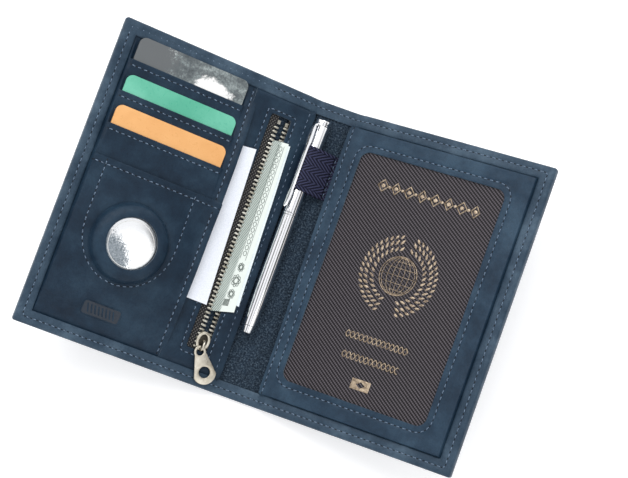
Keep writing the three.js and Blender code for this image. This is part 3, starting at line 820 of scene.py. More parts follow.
def outer_leather(side, name):
    """One skin from the middle of the inner face, round the hem, to the middle of the outer face.

    The profile holds (inward from the edge, height); None takes the hem's own surface."""
    middle = PAGE_H / 2
    tip = HEM - 0.05
    profile = [(middle, 1.0), (40, 1.0), (20, 1.0), (8, 1.0), (1.3, 1.0), (1.0, 1.3), (1.0, 3.4),
               (1.2, 3.58), (tip, 3.58), (HEM + 0.06, 3.7), (HEM + 0.06, 4.2), (tip - 0.15, None),
               (5.4, None), (4.5, None), (3.9, None), (3.5, None), (HEM_SEAM, None), (2.9, None),
               (2.5, None), (1.8, None), (1.0, None), (0.42, 4.22), (0.1, 3.8), (0.0, 3.1),
               (0.0, 1.4), (0.1, 0.7), (0.45, 0.18), (1.1, 0.0), (2.9, 0.0), (HEM_SEAM, 0.12),
               (3.5, 0.0), (8, 0.0), (20, 0.0), (40, 0.0), (middle, 0.0)]
    rows = []
    for inward, w in profile:
        ring = np.array(hem_ring(inward, CORNER))
        s, v = ring[:, 0], ring[:, 1]
        if w is None:
            height = hem_surface(s, v)
        elif w > LEATHER:
            height = LEATHER + (w - LEATHER) * hem_lift(s)
        else:
            height = w
        rows.append(bent(side, s, v, height))
    obj = make(name, np.concatenate(rows), quads(len(rows), len(rows[0])), MAT["outer"])
    bm = bmesh.new()
    bm.from_mesh(obj.data)
    bmesh.ops.holes_fill(bm, edges=[e for e in bm.edges if e.is_boundary], sides=0)
    bmesh.ops.recalc_face_normals(bm, faces=bm.faces)
    bm.to_mesh(obj.data)
    bm.free()
    obj.data.polygons.foreach_set("use_smooth", [True] * len(obj.data.polygons))
    sharpen(obj, 60)
    fold_blend(obj)
    return obj


def fold_blend(obj):
    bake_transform(obj)


def hem_stitches(side, name):
    def top(s, v):
        """The thread is pressed flat where the top card slides over it."""
        worn = side < 0 and v > PAGE_H - HEM and s > FOLD_S + 22
        return hem_surface(s, v) - (0.3 if worn else 0)

    ring = hem_ring(HEM_SEAM, CORNER)
    inside = stitch_line(name + "_inside", ring, top, None, side)
    fold_blend(inside)
    outside = stitch_line(name + "_outside", ring, lambda s, v: 0.1, None, side, under=True)
    fold_blend(outside)


def lining(side, name):
    s = np.concatenate([np.linspace(0, FOLD_S - 5, 12), np.linspace(FOLD_S - 4.5, FOLD_S + 9, 26),
                        np.linspace(FOLD_S + 11, EDGE_S - 1.4, 20)])
    v = np.linspace(1.4, PAGE_H - 1.4, 120)
    grid = np.zeros((len(v), len(s), 3))
    for i, y in enumerate(v):
        wave = np.array([noise.noise(Vector((x * 0.22, y * 0.09, side * 3.1))) for x in s])
        fade = float(smooth(min(y, PAGE_H - y), 4, 12))
        lift = mix(1.5, 2.55, smooth(s, FOLD_S - 2, FOLD_S + 5))
        belly = 0.22 * fade * wave
        grid[i, :, 0], grid[i, :, 1] = s, y
        grid[i, :, 2] = lift + np.clip(belly, -0.15, 0.5) * (1 - smooth(s, FOLD_S + 2, FOLD_S + 6))
    obj = slab(name, (grid, side), 0.35, [MAT["lining"], MAT["lining"]], lay=bent)
    fold_blend(obj)
    return obj


for SIDE, LABEL in ((-1, "left"), (1, "right")):
    skin = outer_leather(SIDE, "outer_leather_" + LABEL)
    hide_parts("outer_cover_" + LABEL, "spine_cover")
    hem_stitches(SIDE, "hem_stitches_" + LABEL)
    cloth = lining(SIDE, "inner_lining_" + LABEL)
    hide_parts("lining_" + LABEL, "spine_lining")
    recolour("stiffener_" + LABEL, "board")
    recolour("rfid_shield_" + LABEL, "foil")


# ------------------------------------------------------------------ card panel heights
CARDS = {"u": (34.5, 88.5), "slits": (126.0, 111.0, 95.6)}
CARD_PANEL_U = 28.2
EDGE_SEAM_U = CARD_PANEL_U + 3
TAG_TOP = 80.8


def curve(stops):
    xs, ys = zip(*stops)
    return lambda v: np.interp(v, xs, ys)


FIELD = curve([(6.0, 3.45), (8.5, 3.6), (19.6, 4.95), (95.6, 8.62), (96, 8.64)])
STRIP_LOW = curve([(92, 6.7), (95.6, 6.86), (111, 7.42)])
STRIP_HIGH = curve([(108, 5.55), (111, 5.62), (126, 5.98)])
STRIP_TOP = curve([(120, 3.5), (126, 3.6), (138, 3.6)])
ZONES = [FIELD, STRIP_LOW, STRIP_HIGH, STRIP_TOP]
SHOULDER = curve([(6, 3.5), (20, 4.95), (80, 7.9), (95, 8.0), (103, 7.4), (111, 6.7), (119, 5.9),
                  (126, 4.9), (133, 3.9), (138, 3.5)])
FREE_EDGE = curve([(6, 3.5), (14, 4.4), (30, 6.6), (50, 8.0), (80, 9.2), (97, 9.2), (112, 8.4),
                   (124, 6.4), (133, 4.4), (138, 3.5)])


def over_cards(u):
    """1 where the card panel stands over the cards, 0 beside them."""
    return smooth(u, 33.0, 34.2) * (1 - smooth(u, 88.8, 90.0))


def past_outer_hem(u):
    """1 where a panel has gone under the hem along the cover's outer edge."""
    return smooth(u, 90.35, 90.95)


def panel_height(u, v, zone):
    """Top of the card panel; zone 0 is below the lowest slit and 3 above the highest."""
    u, v = np.asarray(u, float), np.asarray(v, float)
    free = mix(SHOULDER(v), FREE_EDGE(v), smooth(-u, -33.0, -CARD_PANEL_U - 0.4))
    height = mix(free, ZONES[zone](v), over_cards(u))
    return mix(height, TUCK, past_outer_hem(u))


def card_panel():
    """Four overlapping bands of one leather panel; each slit lies between two of them."""
    us = np.unique(np.concatenate([
        np.linspace(CARD_PANEL_U, 34.6, 15), np.linspace(34.6, 88.4, 46), np.linspace(88.4, PANEL_END_U, 16),
        [EDGE_SEAM_U - 0.4, EDGE_SEAM_U + 0.4, 33.6, 34.2, 88.8, 89.4]]))
    bounds = [6.0] + sorted(CARDS["slits"]) + [PAGE_H - HEM + 1.2]
    points, faces = [], []
    for zone in range(4):
        low, high = bounds[zone], bounds[zone + 1]
        span = high - low
        near = [0, 0.3, 0.9, 2.1, 2.6, 3.1, 3.7]
        inner = np.linspace(4.6, span, max(3, int(span / 1.8)))[:-1]
        down = np.unique(np.concatenate([near, inner, [span]]))
        rows = high - down[::-1]
        first = len(points)
        for i, v in enumerate(rows):
            for u in us:
                inside = float(over_cards(u))
                place = v - 2.4 * inside if i == 0 and zone > 0 else v
                w = float(panel_height(u, place, zone))
                below = high - place
                if zone < 3:
                    w -= 0.16 * inside * math.exp(-(((below - 2.6) / 0.5) ** 2))
                    w -= 0.12 * inside * float(smooth(-below, -0.45, 0.0))
                w -= 0.16 * math.exp(-(((u - EDGE_SEAM_U) / 0.5) ** 2))
                points.append((u, place, w))
        faces += quads(len(rows), len(us), first)
    obj = make("card_slot_panel", laid(-1, points), faces, [MAT["inner"], MAT["edge"]])
    thick = obj.modifiers.new("thick", "SOLIDIFY")
    thick.thickness = 0.8 * MM
    facing = sum(p.normal.dot(cover_normal(-1)) for p in obj.data.polygons)
    thick.offset = -1 if facing > 0 else 1
    thick.material_offset_rim = 1
    apply_modifiers(obj)
    bevel(obj, 0.12, 1, 50)
    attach(obj, "left_cover")
    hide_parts("card_panel")


card_panel()
for number, slit in enumerate(CARDS["slits"]):
    zone = 2 - number
    path = line((FOLD_S + CARDS["u"][0] - 0.6, slit - 2.6), (FOLD_S + CARDS["u"][1] + 0.4, slit - 2.6))
    stitch_line(f"slot_stitches_{number + 1}", path,
                lambda s, v, z=zone: panel_height(s - FOLD_S, v, z) - 0.14, "left_cover", -1)
stitch_line("card_panel_edge_stitches",
            line((FOLD_S + EDGE_SEAM_U, PAGE_H - HEM - 1.5), (FOLD_S + EDGE_SEAM_U, TAG_TOP + 1)),
            lambda s, v: panel_height(s - FOLD_S, v, 0 if v < CARDS["slits"][2] else 1) - 0.14,
            "left_cover", -1)


def ring_sheet(name, hole, edge, steps, height, thickness, side, lip=0.1, cut=0.12):
    """A leather sheet between a hole's outlines and its outer edge, with surface height(s, v).

    The hole's own edge is pressed down by lip."""
    rings = list(hole) + [mix(hole[-1], edge, t) for t in steps]
    grid = np.zeros((len(rings), len(edge), 3))
    for i, ring in enumerate(rings):
        grid[i, :, :2] = ring
        grid[i, :, 2] = [float(height(u + FOLD_S, v)) for u, v in ring]
    grid[0, :, 2] -= lip
    return slab(name, (grid, side), thickness, [MAT["inner"], MAT["edge"]], wrap=True, edge=cut)


# ------------------------------------------------------------------ tracker pocket
TAG = {"u": 62.2, "v": 48.8, "hole": 11.65}
TAG_RINGS = [TAG["hole"], 11.85, 12.3, 12.9, 13.6, 14.3, 15, 15.6, 16.1, 16.6, 17, 17.3, 17.6, 17.9,
             18.1, 18.4, 19, 21]
DOME = curve([(0, 8.2), (TAG["hole"], 8.15), (12.3, 8.4), (13.5, 8.25), (15, 7.6), (16, 6.95), (16.9, 6.1),
              (17.5, 4.5), (17.9, 3.1), (18.1, 2.75), (18.6, 2.9), (20, 2.8), (24, 2.1), (30, 0.9),
              (36, 0.2), (42, 0)])


def u_stitch_path():
    """The pocket's seam: straight sides closed by a deep curve under the tag."""
    left = line((84.4, TAG_TOP - 1), (84.4, 54), 1.5)
    right = line((41.0, 56), (41.0, TAG_TOP - 1), 1.5)
    under = [(62.7 + 21.7 * math.cos(t), 54.5 - 25 * math.sin(t) ** 0.9)
             for t in np.linspace(0, math.pi, 40)[1:-1]]
    return left + under + right


U_PATH = np.array(u_stitch_path())


def tag_panel_height(u, v, groove=True):
    u, v = np.asarray(u, float), np.asarray(v, float)
    base = panel_height(u, v, 0) + mix(0.95, 1.6, smooth(v, 66, 80))
    r = np.hypot(u - TAG["u"], v - TAG["v"])
    height = base + DOME(r)
    if groove:
        to_seam = np.hypot(U_PATH[:, 0] - u, U_PATH[:, 1] - v).min()
        height = height - 0.22 * math.exp(-((to_seam / 0.7) ** 2))
        height = height - 0.18 * np.exp(-(((TAG_TOP - v - 3.0) / 0.6) ** 2))
        height = height - 0.1 * smooth(-(TAG_TOP - v), -0.5, 0)
    height = mix(height, TUCK, past_outer_hem(u))
    return mix(TUCK, height, smooth(v, 6.2, 8.4))


def tag_panel():
    """The pocket's leather: rings round the tag's window, spreading to the panel's outline."""
    centre = np.array([TAG["u"], TAG["v"]])
    outline = rounded_loop((CARD_PANEL_U + 0.1, PANEL_INSET), (PANEL_END_U, TAG_TOP), 1.2, 60, 8)
    angles = np.mod(np.arctan2(*(outline - centre).T[::-1]), 2 * math.pi)
    order = np.argsort(angles)
    rays = np.stack([np.cos(angles[order]), np.sin(angles[order])], -1)
    outward = np.concatenate([np.linspace(0.04, 0.9, 26), [0.93, 0.95, 0.96, 0.97, 0.98, 0.99, 1.0]])
    obj = ring_sheet("tracker_pocket_panel", [centre + rays * r for r in TAG_RINGS], outline[order], outward,
                     lambda s, v: tag_panel_height(s - FOLD_S, v), 0.75, -1, lip=0.0, cut=0.14)
    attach(obj, "left_cover")
    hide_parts("tag_panel")
    flat = lambda s, v: float(tag_panel_height(s - FOLD_S, v)) + 0.02
    stitch_line("tracker_pocket_stitches", U_PATH + [FOLD_S, 0], flat, "left_cover", -1)
    top = line((FOLD_S + 90.2, TAG_TOP - 3), (FOLD_S + CARD_PANEL_U + 1, TAG_TOP - 3))
    stitch_line("tag_panel_top_stitches", top, flat, "left_cover", -1)
    edge = line((FOLD_S + EDGE_SEAM_U, TAG_TOP - 5.6), (FOLD_S + EDGE_SEAM_U, HEM + 1.5))
    stitch_line("tag_panel_edge_stitches", edge, flat, "left_cover", -1)


def tag_badge():
    """A plain pressed badge with slanting bars, low on the pocket panel."""
    low, high = np.array([52.9, 12.9]), np.array([71.3, 19.7])

    def place(p):
        heights = np.array([float(tag_panel_height(u, v, False)) for u, v in p[:, :2]])
        return on_cover(-1, p[:, 0], p[:, 1], heights + p[:, 2] + 0.12)

    outline = rounded_loop(low, high, 1.7, 20, 8)
    inner = rounded_loop(low + 0.45, high - 0.45, 1.3, 20, 8)
    pieces = [flat_shape("rim", [outline, inner], 0.3, 0.1, MAT["inner"], place),
              flat_shape("field", [inner], 0.14, 0.03, MAT["ink"], place)]
    for k in range(8):
        u = low[0] + 2.4 + k * 1.75
        foot, head = low[1] + 1.5, high[1] - 1.5
        bar = [(u, foot), (u + 0.6, foot), (u + 1.9, head), (u + 1.3, head)]
        pieces.append(flat_shape("bar", [even_loop(np.array(bar), 16)], 0.3, 0.08, MAT["inner"], place))
    obj = merge("pocket_badge", pieces)
    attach(obj, "left_cover")


def tracker_tag():
    """A coin-shaped tracker: white shell below, polished domed steel cap above."""
    slope = math.atan((FIELD(95.6) - FIELD(19.6)) / 76)
    foot = on_cover(-1, TAG["u"], TAG["v"], float(FIELD(TAG["v"])))
    up = cover_normal(-1)
    axis = Vector((up[0] * math.cos(slope), -math.sin(slope), up[2] * math.cos(slope)))
    shell = [(0.01, 0.2), (12.8, 0.2), (14.3, 0.55), (15.4, 1.5), (15.93, 2.9), (15.93, 4.4),
             (15.75, 5.1), (15.2, 5.1), (15.0, 1.8), (0.01, 1.8)]
    base = lathe("tag_shell", shell, foot, axis, MAT["white"], 96, False)
    cap_profile = [(0.01, 6.6), (13.6, 6.6), (14.6, 5.0), (15.78, 5.2), (15.6, 5.7), (14.9, 6.5),
                   (13.6, 7.2), (12.2, 7.6), (10.6, 7.86), (8, 8.02), (4, 8.1), (0.01, 8.12)]
    cap = lathe("tag_steel_cap", cap_profile, foot, axis, MAT["steel"], 96, False)
    ring_profile = [(10.2, 7.8), (10.35, 7.96), (10.6, 7.9), (10.6, 7.7)]
    ring = lathe("tag_cap_ring", ring_profile, foot, axis, MAT["white"], 96)
    for obj, slot, node in ((base, "white_plastic", "tag_base"), (cap, "tag_steel", "tag_cap"),
                            (ring, "white_plastic", None)):
        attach(obj, "left_cover")
        if node:
            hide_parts(node)


tag_panel()
tag_badge()
tracker_tag()


# ------------------------------------------------------------------ zipped pocket
ZIP = {"u": 13.0, "window": ((9.6, 15.6), (19.6, 128.4)), "row": 1.9, "pitch": 2.0, "first": 16.4}
ZIP_TOP = 5.1
SEAM = ((7.7, 12.9), (21.9, 130.2))


def zip_panel_height(s, v):
    u = np.asarray(s, float) - FOLD_S
    lift = smooth(v, 5.6, 8.0) * (1 - smooth(v, PAGE_H - 8.0, PAGE_H - 5.6))
    top = mix(TUCK + 0.05, ZIP_TOP, lift)
    (u0, v0), (u1, v1) = SEAM
    off_seam = np.minimum(np.minimum(abs(u - u0), abs(u - u1)), np.minimum(abs(v - v0), abs(v - v1)))
    inside = (u > u0 - 1) * (u < u1 + 1) * (v > v0 - 1) * (v < v1 + 1)
    top = top - 0.2 * np.exp(-((off_seam / 0.55) ** 2)) * inside
    return top - 0.2 * np.exp(-(((u - 2.1) / 0.5) ** 2))


def zip_panel():
    """The flat leather of the zipped pocket, from the spine to under the card panel."""
    (u0, v0), (u1, v1) = ZIP["window"]
    hole = [rounded_loop((u0 - t, v0 - t), (u1 + t, v1 + t), 1.2 + t, 60, 5)
            for t in (0, 0.15, 0.5, 1.2, 1.6, 1.9, 2.3, 2.7, 3.2)]
    edge = rounded_loop((-0.5, PANEL_INSET), (30.0, PAGE_H - PANEL_INSET), 0.5, 60, 5)
    steps = (0.2, 0.4, 0.55, 0.7, 0.8, 0.87, 0.93, 0.97, 1.0)
    obj = ring_sheet("zip_pocket_panel", hole, edge, steps, zip_panel_height, 0.65, -1)
    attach(obj, "left_cover")
    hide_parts("zip_panel")
    (u0, v0), (u1, v1) = SEAM
    seam = close_loop(rounded_loop((u0 + FOLD_S, v0), (u1 + FOLD_S, v1), 0.6, 60, 4))
    stitch_line("zip_seam_stitches", seam, zip_panel_height, "left_cover", -1)
    spine_side = line((FOLD_S + 2.1, PAGE_H - HEM - 1), (FOLD_S + 2.1, HEM + 1))
    stitch_line("zip_panel_spine_stitches", spine_side, zip_panel_height, "left_cover", -1)


def zip_tapes():
    """Twill tape: small raised floats in a herringbone, one band under each side of the window."""
    bands = []
    for inner, outer in ((15.9, 22.4), (3.6, 10.1)):
        us = np.linspace(inner, outer, 27)
        vs = np.linspace(13.8, 130, 466)
        column = (us - inner) / 0.5
        zigzag = np.abs((column / 3.0) % 2 - 1) * 1.4
        grid = np.zeros((len(vs), len(us), 3))
        grid[..., 0] = us
        grid[..., 1] = vs[:, None]
        ribs = 0.5 + 0.5 * np.sin((vs[:, None] / 0.55 + zigzag) * math.pi)
        grid[..., 2] = 4.06 + 0.13 * ribs * (0.6 + 0.4 * np.cos(column * math.pi) ** 2)
        bands.append(slab("band", (grid, -1), 0.25, [MAT["tape"], MAT["tape"]]))
    obj = merge("zip_tape_weave", bands)
    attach(obj, "left_cover")
    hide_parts("zip_tape_outer", "zip_tape_inner")


def tooth(points, faces, u, v, side):
    """One clamped tooth: a shank over the tape's cord and a rounded head towards the other row."""
    first = len(points)
    rings = [(1.6, 0.3, 3.6, 4.5), (1.2, 0.44, 3.42, 4.78), (-0.1, 0.52, 3.4, 4.8),
             (-0.5, 0.42, 3.45, 4.78), (-0.72, 0.5, 3.45, 4.74), (-0.92, 0.24, 3.7, 4.5)]
    corner = 0.16
    for along, half, low, high in rings:
        flat, low_in, high_in = half - corner, low + corner, high - corner
        outline = [(-half, low_in), (-flat, low), (flat, low), (half, low_in),
                   (half, high_in), (flat, high), (-flat, high), (-half, high_in)]
        points += [(u + side * along, v + across, w) for across, w in outline]
    faces += capped(len(rings), 8, first)


def zip_teeth():
    for name, side in (("outer", 1), ("inner", -1)):
        points, faces = [], []
        centre = ZIP["u"] + side * ZIP["row"]
        for i in range(54):
            v = ZIP["first"] + (i + (0.32 if side > 0 else 0.8)) * ZIP["pitch"]
            tooth(points, faces, centre, v + RNG.uniform(-0.05, 0.05), side)
        teeth = sharpen(make("teeth", laid(-1, points), faces, MAT["brass"]), 50)
        route = [on_cover(-1, centre + side, v, 4.12) for v in np.linspace(14, 129.8, 60)]
        cord = tube("cord", route, 0.42, MAT["tape"], 10)
        obj = merge("zip_teeth_row_" + name, [teeth, cord])
        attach(obj, "left_cover")
        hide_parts("zip_teeth_" + name)
    for node in ("zip_bottom_stop", "zip_top_stop_outer", "zip_top_stop_inner"):
        recolour(node, "brass", 0.15)


BAIL = {"v": 18.2, "w": 6.25, "r": 2.2}


def slider():
    """Zip slider: two oval plates, a wedge and a bail. The top plate has a bright rim round a well."""
    centre = (ZIP["u"], 20.2)
    rim = flat_shape("rim", [oval(centre, 3.28, 4.42), oval(centre, 1.95, 3.1)], 0.6, 0.22,
                     MAT["nickel"], flat_on(-1, 5.25))
    well = flat_shape("well", [oval(centre, 2.1, 3.25)], 0.3, 0.05, MAT["well"], flat_on(-1, 5.12))
    bottom = flat_shape("bottom", [oval(centre, 3.28, 4.42)], 0.48, 0.15, MAT["nickel"], flat_on(-1, 3.0))
    wedge = flat_shape("wedge", [oval((centre[0], 22.7), 0.8, 1.3, 24)], 1.9, 0.2, MAT["well"],
                       flat_on(-1, 4.1))
    route = [on_cover(-1, ZIP["u"], BAIL["v"] + BAIL["r"], 5.25)]
    for a in np.linspace(0, math.pi, 22):
        v = BAIL["v"] + BAIL["r"] * math.cos(a)
        route.append(on_cover(-1, ZIP["u"], v, BAIL["w"] + BAIL["r"] * math.sin(a)))
    route.append(on_cover(-1, ZIP["u"], BAIL["v"] - BAIL["r"], 5.25))
    bail = tube("bail", route, 0.58, MAT["nickel"], 14)
    obj = merge("slider_body", [rim, well, bottom, wedge, bail])
    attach(obj, "zip_slider")
    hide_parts("zip_slider")


def teardrop(small, large, reach):
    """Outline of two circles joined by their common tangents, the large one at y = -reach."""
    tilt = math.asin((large - small) / reach)
    points = []
    for radius, centre, start, end in ((small, 0, -tilt, math.pi + tilt),
                                       (large, -reach, math.pi + tilt, 2 * math.pi - tilt)):
        for a in np.linspace(start, end, 48):
            points.append((radius * math.cos(a), radius * math.sin(a) + centre))
    return even_loop(np.array(points), 150)


def pull_tab():
    """Teardrop puller: an eye round the bail and a large hole in its wide end."""
    eye_v = BAIL["v"] - BAIL["r"] - 0.85
    reach, lean = 9.5, 0.58
    loops = [teardrop(2.85, 5.55, reach), oval((0, 0), 1.62, 1.62, 48), oval((0, -reach), 2.6, 2.6, 64)]

    def place(p):
        u = p[:, 0] * math.cos(lean) + p[:, 1] * math.sin(lean)
        v = p[:, 1] * math.cos(lean) - p[:, 0] * math.sin(lean)
        return on_cover(-1, ZIP["u"] + u, eye_v + v, BAIL["w"] + p[:, 2])

    obj = flat_shape("pull_tab_metal", loops, 0.96, 0.26, MAT["nickel"], place)
    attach(obj, "pull_tab")
    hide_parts("pull_tab")


NOTE_LIFT = 0.25  # of the front note over the back one


def note_height(u, v, lift):
    rise = float(smooth(-u, -14.5, -10.5))
    out = (14.4 - u) / 11
    wave = 0.22 * math.sin(v * 0.085) * out + 0.1 * math.sin(v * 0.21 + 1)
    return mix(4.3, 5.35 + lift, rise) + (0.35 * out + wave) * rise


def note_sheet(name, corners, lift, material):
    """A folded note standing out of the open zip; corners run from the zip to the spine side."""
    (top_in, top_out), (low_in, low_out) = corners
    grid = np.zeros((60, 22, 3))
    for i, t in enumerate(np.linspace(0, 1, 60)):
        for j, k in enumerate(np.linspace(0, 1, 22)):
            u = mix(mix(low_in[0], low_out[0], k), mix(top_in[0], top_out[0], k), t)
            v = mix(mix(low_in[1], low_out[1], k), mix(top_in[1], top_out[1], k), t)
            grid[i, j] = (u, v, note_height(u, v, lift))
    return slab(name, (grid, -1), 0.12, [material, material])


def note_print():
    """Engraved ornament with no letter or figure: a chain border, rosettes and a shaded block."""
    def ink(route, radius):
        points = [on_cover(-1, u, v, note_height(u, v, NOTE_LIFT) + 0.03) for u, v in route]
        return tube("ink", points, radius, MAT["engraving"], 5)

    pieces = []
    for k in range(19):
        v = 64 + k * 2.8
        middle = mix(9.0, 10.2, (v - 64) / 50)
        pieces.append(ink(list(oval((middle, v), 0.75, 1.1, 12)) + [(middle + 0.75, v)], 0.13))
    for shift in (-1.35, 1.35):
        route = [(mix(9.0, 10.2, t) + shift, mix(61, 116, t)) for t in np.linspace(0, 1, 24)]
        pieces.append(ink(route, 0.1))
    for v, size in ((57.5, 1.5), (51.0, 2.1), (44.6, 1.6)):
        for turn in range(4):
            a = turn * math.pi / 4
            loop = [(8.4 + size * math.cos(t) * math.cos(a) - 0.45 * size * math.sin(t) * math.sin(a),
                     v + size * 1.4 * math.cos(t) * math.sin(a) + 0.6 * size * math.sin(t) * math.cos(a))
                    for t in np.linspace(0, 2 * math.pi, 16)]
            pieces.append(ink(loop, 0.12))
    for k in range(6):
        pieces.append(ink([(10.6, 38.6 + k * 0.55), (8.1, 39.2 + k * 0.55)], 0.2))
    return pieces


def banknotes():
    """Two folded notes, tucked between the parted rows of teeth and standing out over the panel."""
    front_corners = ((14.6, 117.2), (7.2, 117.9)), ((14.6, 34.3), (4.2, 37.2))
    back_corners = ((14.2, 116.4), (6.1, 117.2)), ((14.2, 41.0), (2.9, 40.4))
    front = note_sheet("front", front_corners, NOTE_LIFT, MAT["note"])
    back = note_sheet("back", back_corners, 0.0, MAT["margin"])
    obj = merge("banknotes_in_zip", [front, back] + note_print())
    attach(obj, "left_cover")
    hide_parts("banknotes")
    anchor = Vector(on_cover(-1, 14.6, PAGE_H / 2, 2.6)) * MM
    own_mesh(obj)


def paper_slip():
    grid = np.zeros((50, 14, 3))
    for i, t in enumerate(np.linspace(0, 1, 50)):
        for j, k in enumerate(np.linspace(0, 1, 14)):
            v = mix(36, mix(110, 109, k), t)
            u = mix(mix(17.6, 20.8, t), 28.6, k)
            grid[i, j] = (u, v, 5.42 + 0.25 * (1 - k) * (0.5 + 0.5 * math.sin(v * 0.07)) + 0.2 * k)
    obj = slab("folded_paper_slip", (grid, -1), 0.14, [MAT["paper"], MAT["paper"]])
    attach(obj, "left_cover")
    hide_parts("paper_slip")


zip_panel()
zip_tapes()
zip_teeth()
slider()
pull_tab()
banknotes()
paper_slip()


# ------------------------------------------------------------------ cards
def contact_chip(node):
    """Eight contact pads on a card's inner face, near its foot."""
    card = frame["nodes"][node]
    turn = card.matrix_world.to_3x3()
    inward = cover_normal(-1)
    faces = [p for p in card.data.polygons if (turn @ p.normal).dot(inward) > 0.9]
    up = (turn @ max(faces, key=lambda p: p.area).normal).normalized()
    axes = (cover_direction(-1), cover_direction(-1).cross(up), up)
    spots = np.array([[(card.matrix_world @ v.co).dot(a) / MM for a in axes] for v in card.data.vertices])
    middle = (spots.min(axis=0) + spots.max(axis=0)) / 2
    middle[2] = spots[:, 2].max()

    def place(p):
        return (p + middle + (0, 0, 0.02)) @ np.array(axes)

    pads = []
    for column in (0, 1):
        for row in range(4):
            low = (-5.6 + column * 5.75, -25 + row * 3.1)
            outline = rounded_loop(low, (low[0] + 5.45, low[1] + 2.8), 0.7, 4, 4)
            pads.append(flat_shape("pad", [outline], 0.06, 0.02, MAT["gold"], place))
    obj = merge(node + "_chip", pads)
    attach(obj, node)


for NODE, KEY in (("card_top", "silver"), ("card_middle", "green"), ("card_bottom", "orange")):
    recolour(NODE, KEY, 0.14)
    contact_chip(NODE)


# ------------------------------------------------------------------ window panel and passport
WINDOW = ((7.8, 16.3), (79.8, 126.7))
WINDOW_TOP = 6.0
WINDOW_SEAM = 2.9  # from the window to the stitches round it


def window_height(s, v):
    u = np.asarray(s, float) - FOLD_S
    free = smooth(v, 6.45, 7.1) * (1 - smooth(v, PAGE_H - 7.1, PAGE_H - 6.45)) * (1 - past_outer_hem(u))
    top = mix(TUCK, WINDOW_TOP, free)
    (u0, v0), (u1, v1) = WINDOW
    distance = np.maximum(np.maximum(u0 - u, u - u1), np.maximum(v0 - v, v - v1))
    top = top - 0.22 * np.exp(-(((distance - WINDOW_SEAM) / 0.55) ** 2))
    top = top + 0.2 * (1 - smooth(u, -2, 6)) * np.sin(np.clip((v - 6) / 131, 0, 1) * math.pi)
    return top + 0.08 * np.sin(v * 0.11 + u * 0.2) * free


def window_panel():
    (u0, v0), (u1, v1) = WINDOW
    hole = [rounded_loop((u0 - t, v0 - t), (u1 + t, v1 + t), 4.5 + t, 50, 8)
            for t in (0, 0.15, 0.5, 1.2, 1.9, 2.3, 2.6, WINDOW_SEAM, 3.2, 3.5, 3.9, 4.4)]
    edge = rounded_loop((-0.3, PANEL_INSET), (PANEL_END_U, PAGE_H - PANEL_INSET), 0.5, 50, 8)
    edge[:, 0] -= np.where(edge[:, 0] < 5, 1.9 * smooth(edge[:, 1], 7, 125), 0)
    steps = (0.15, 0.3, 0.45, 0.58, 0.68, 0.75, 0.8, 0.835, 0.86, 0.88, 0.9, 0.92, 0.96, 1.0)
    obj = ring_sheet("passport_window_panel", hole, edge, steps, window_height, 0.7, 1)
    obj.data.materials[0] = MAT["window"]
    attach(obj, "right_cover")
    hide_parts("window_panel")
    seam = close_loop(rounded_loop((u0 - WINDOW_SEAM + FOLD_S, v0 - WINDOW_SEAM),
                                   (u1 + WINDOW_SEAM + FOLD_S, v1 + WINDOW_SEAM), 7.2, 50, 8))
    stitch_line("window_stitches", seam, window_height, "right_cover", 1)
    edge_line = line((FOLD_S - 0.2, PAGE_H - HEM - 1), (FOLD_S + 1.6, HEM + 1))
    stitch_line("window_panel_spine_stitches", edge_line, window_height, "right_cover", 1, lay=on_panel)


def gilt(name, route, radius, closed=False):
    """A thin printed line on the passport's cover through (u, v) points."""
    route = np.array(list(route) + ([route[0]] if closed else []))
    points = [on_cover(1, u, v, 5.16) for u, v in route]
    return tube(name, points, radius, MAT["gold"], 6)


def gilt_leaf(u, v, length, half, turn):
    shape = [(0, 0), (length * 0.35, half), (length * 0.75, half * 0.7), (length, 0),
             (length * 0.75, -half * 0.7), (length * 0.35, -half)]
    c, s = math.cos(turn), math.sin(turn)
    loop = [(u + x * c - y * s, v + x * s + y * c) for x, y in shape]
    return flat_shape("leaf", [loop], 0.08, 0.02, MAT["gold"], flat_on(1, 5.18))


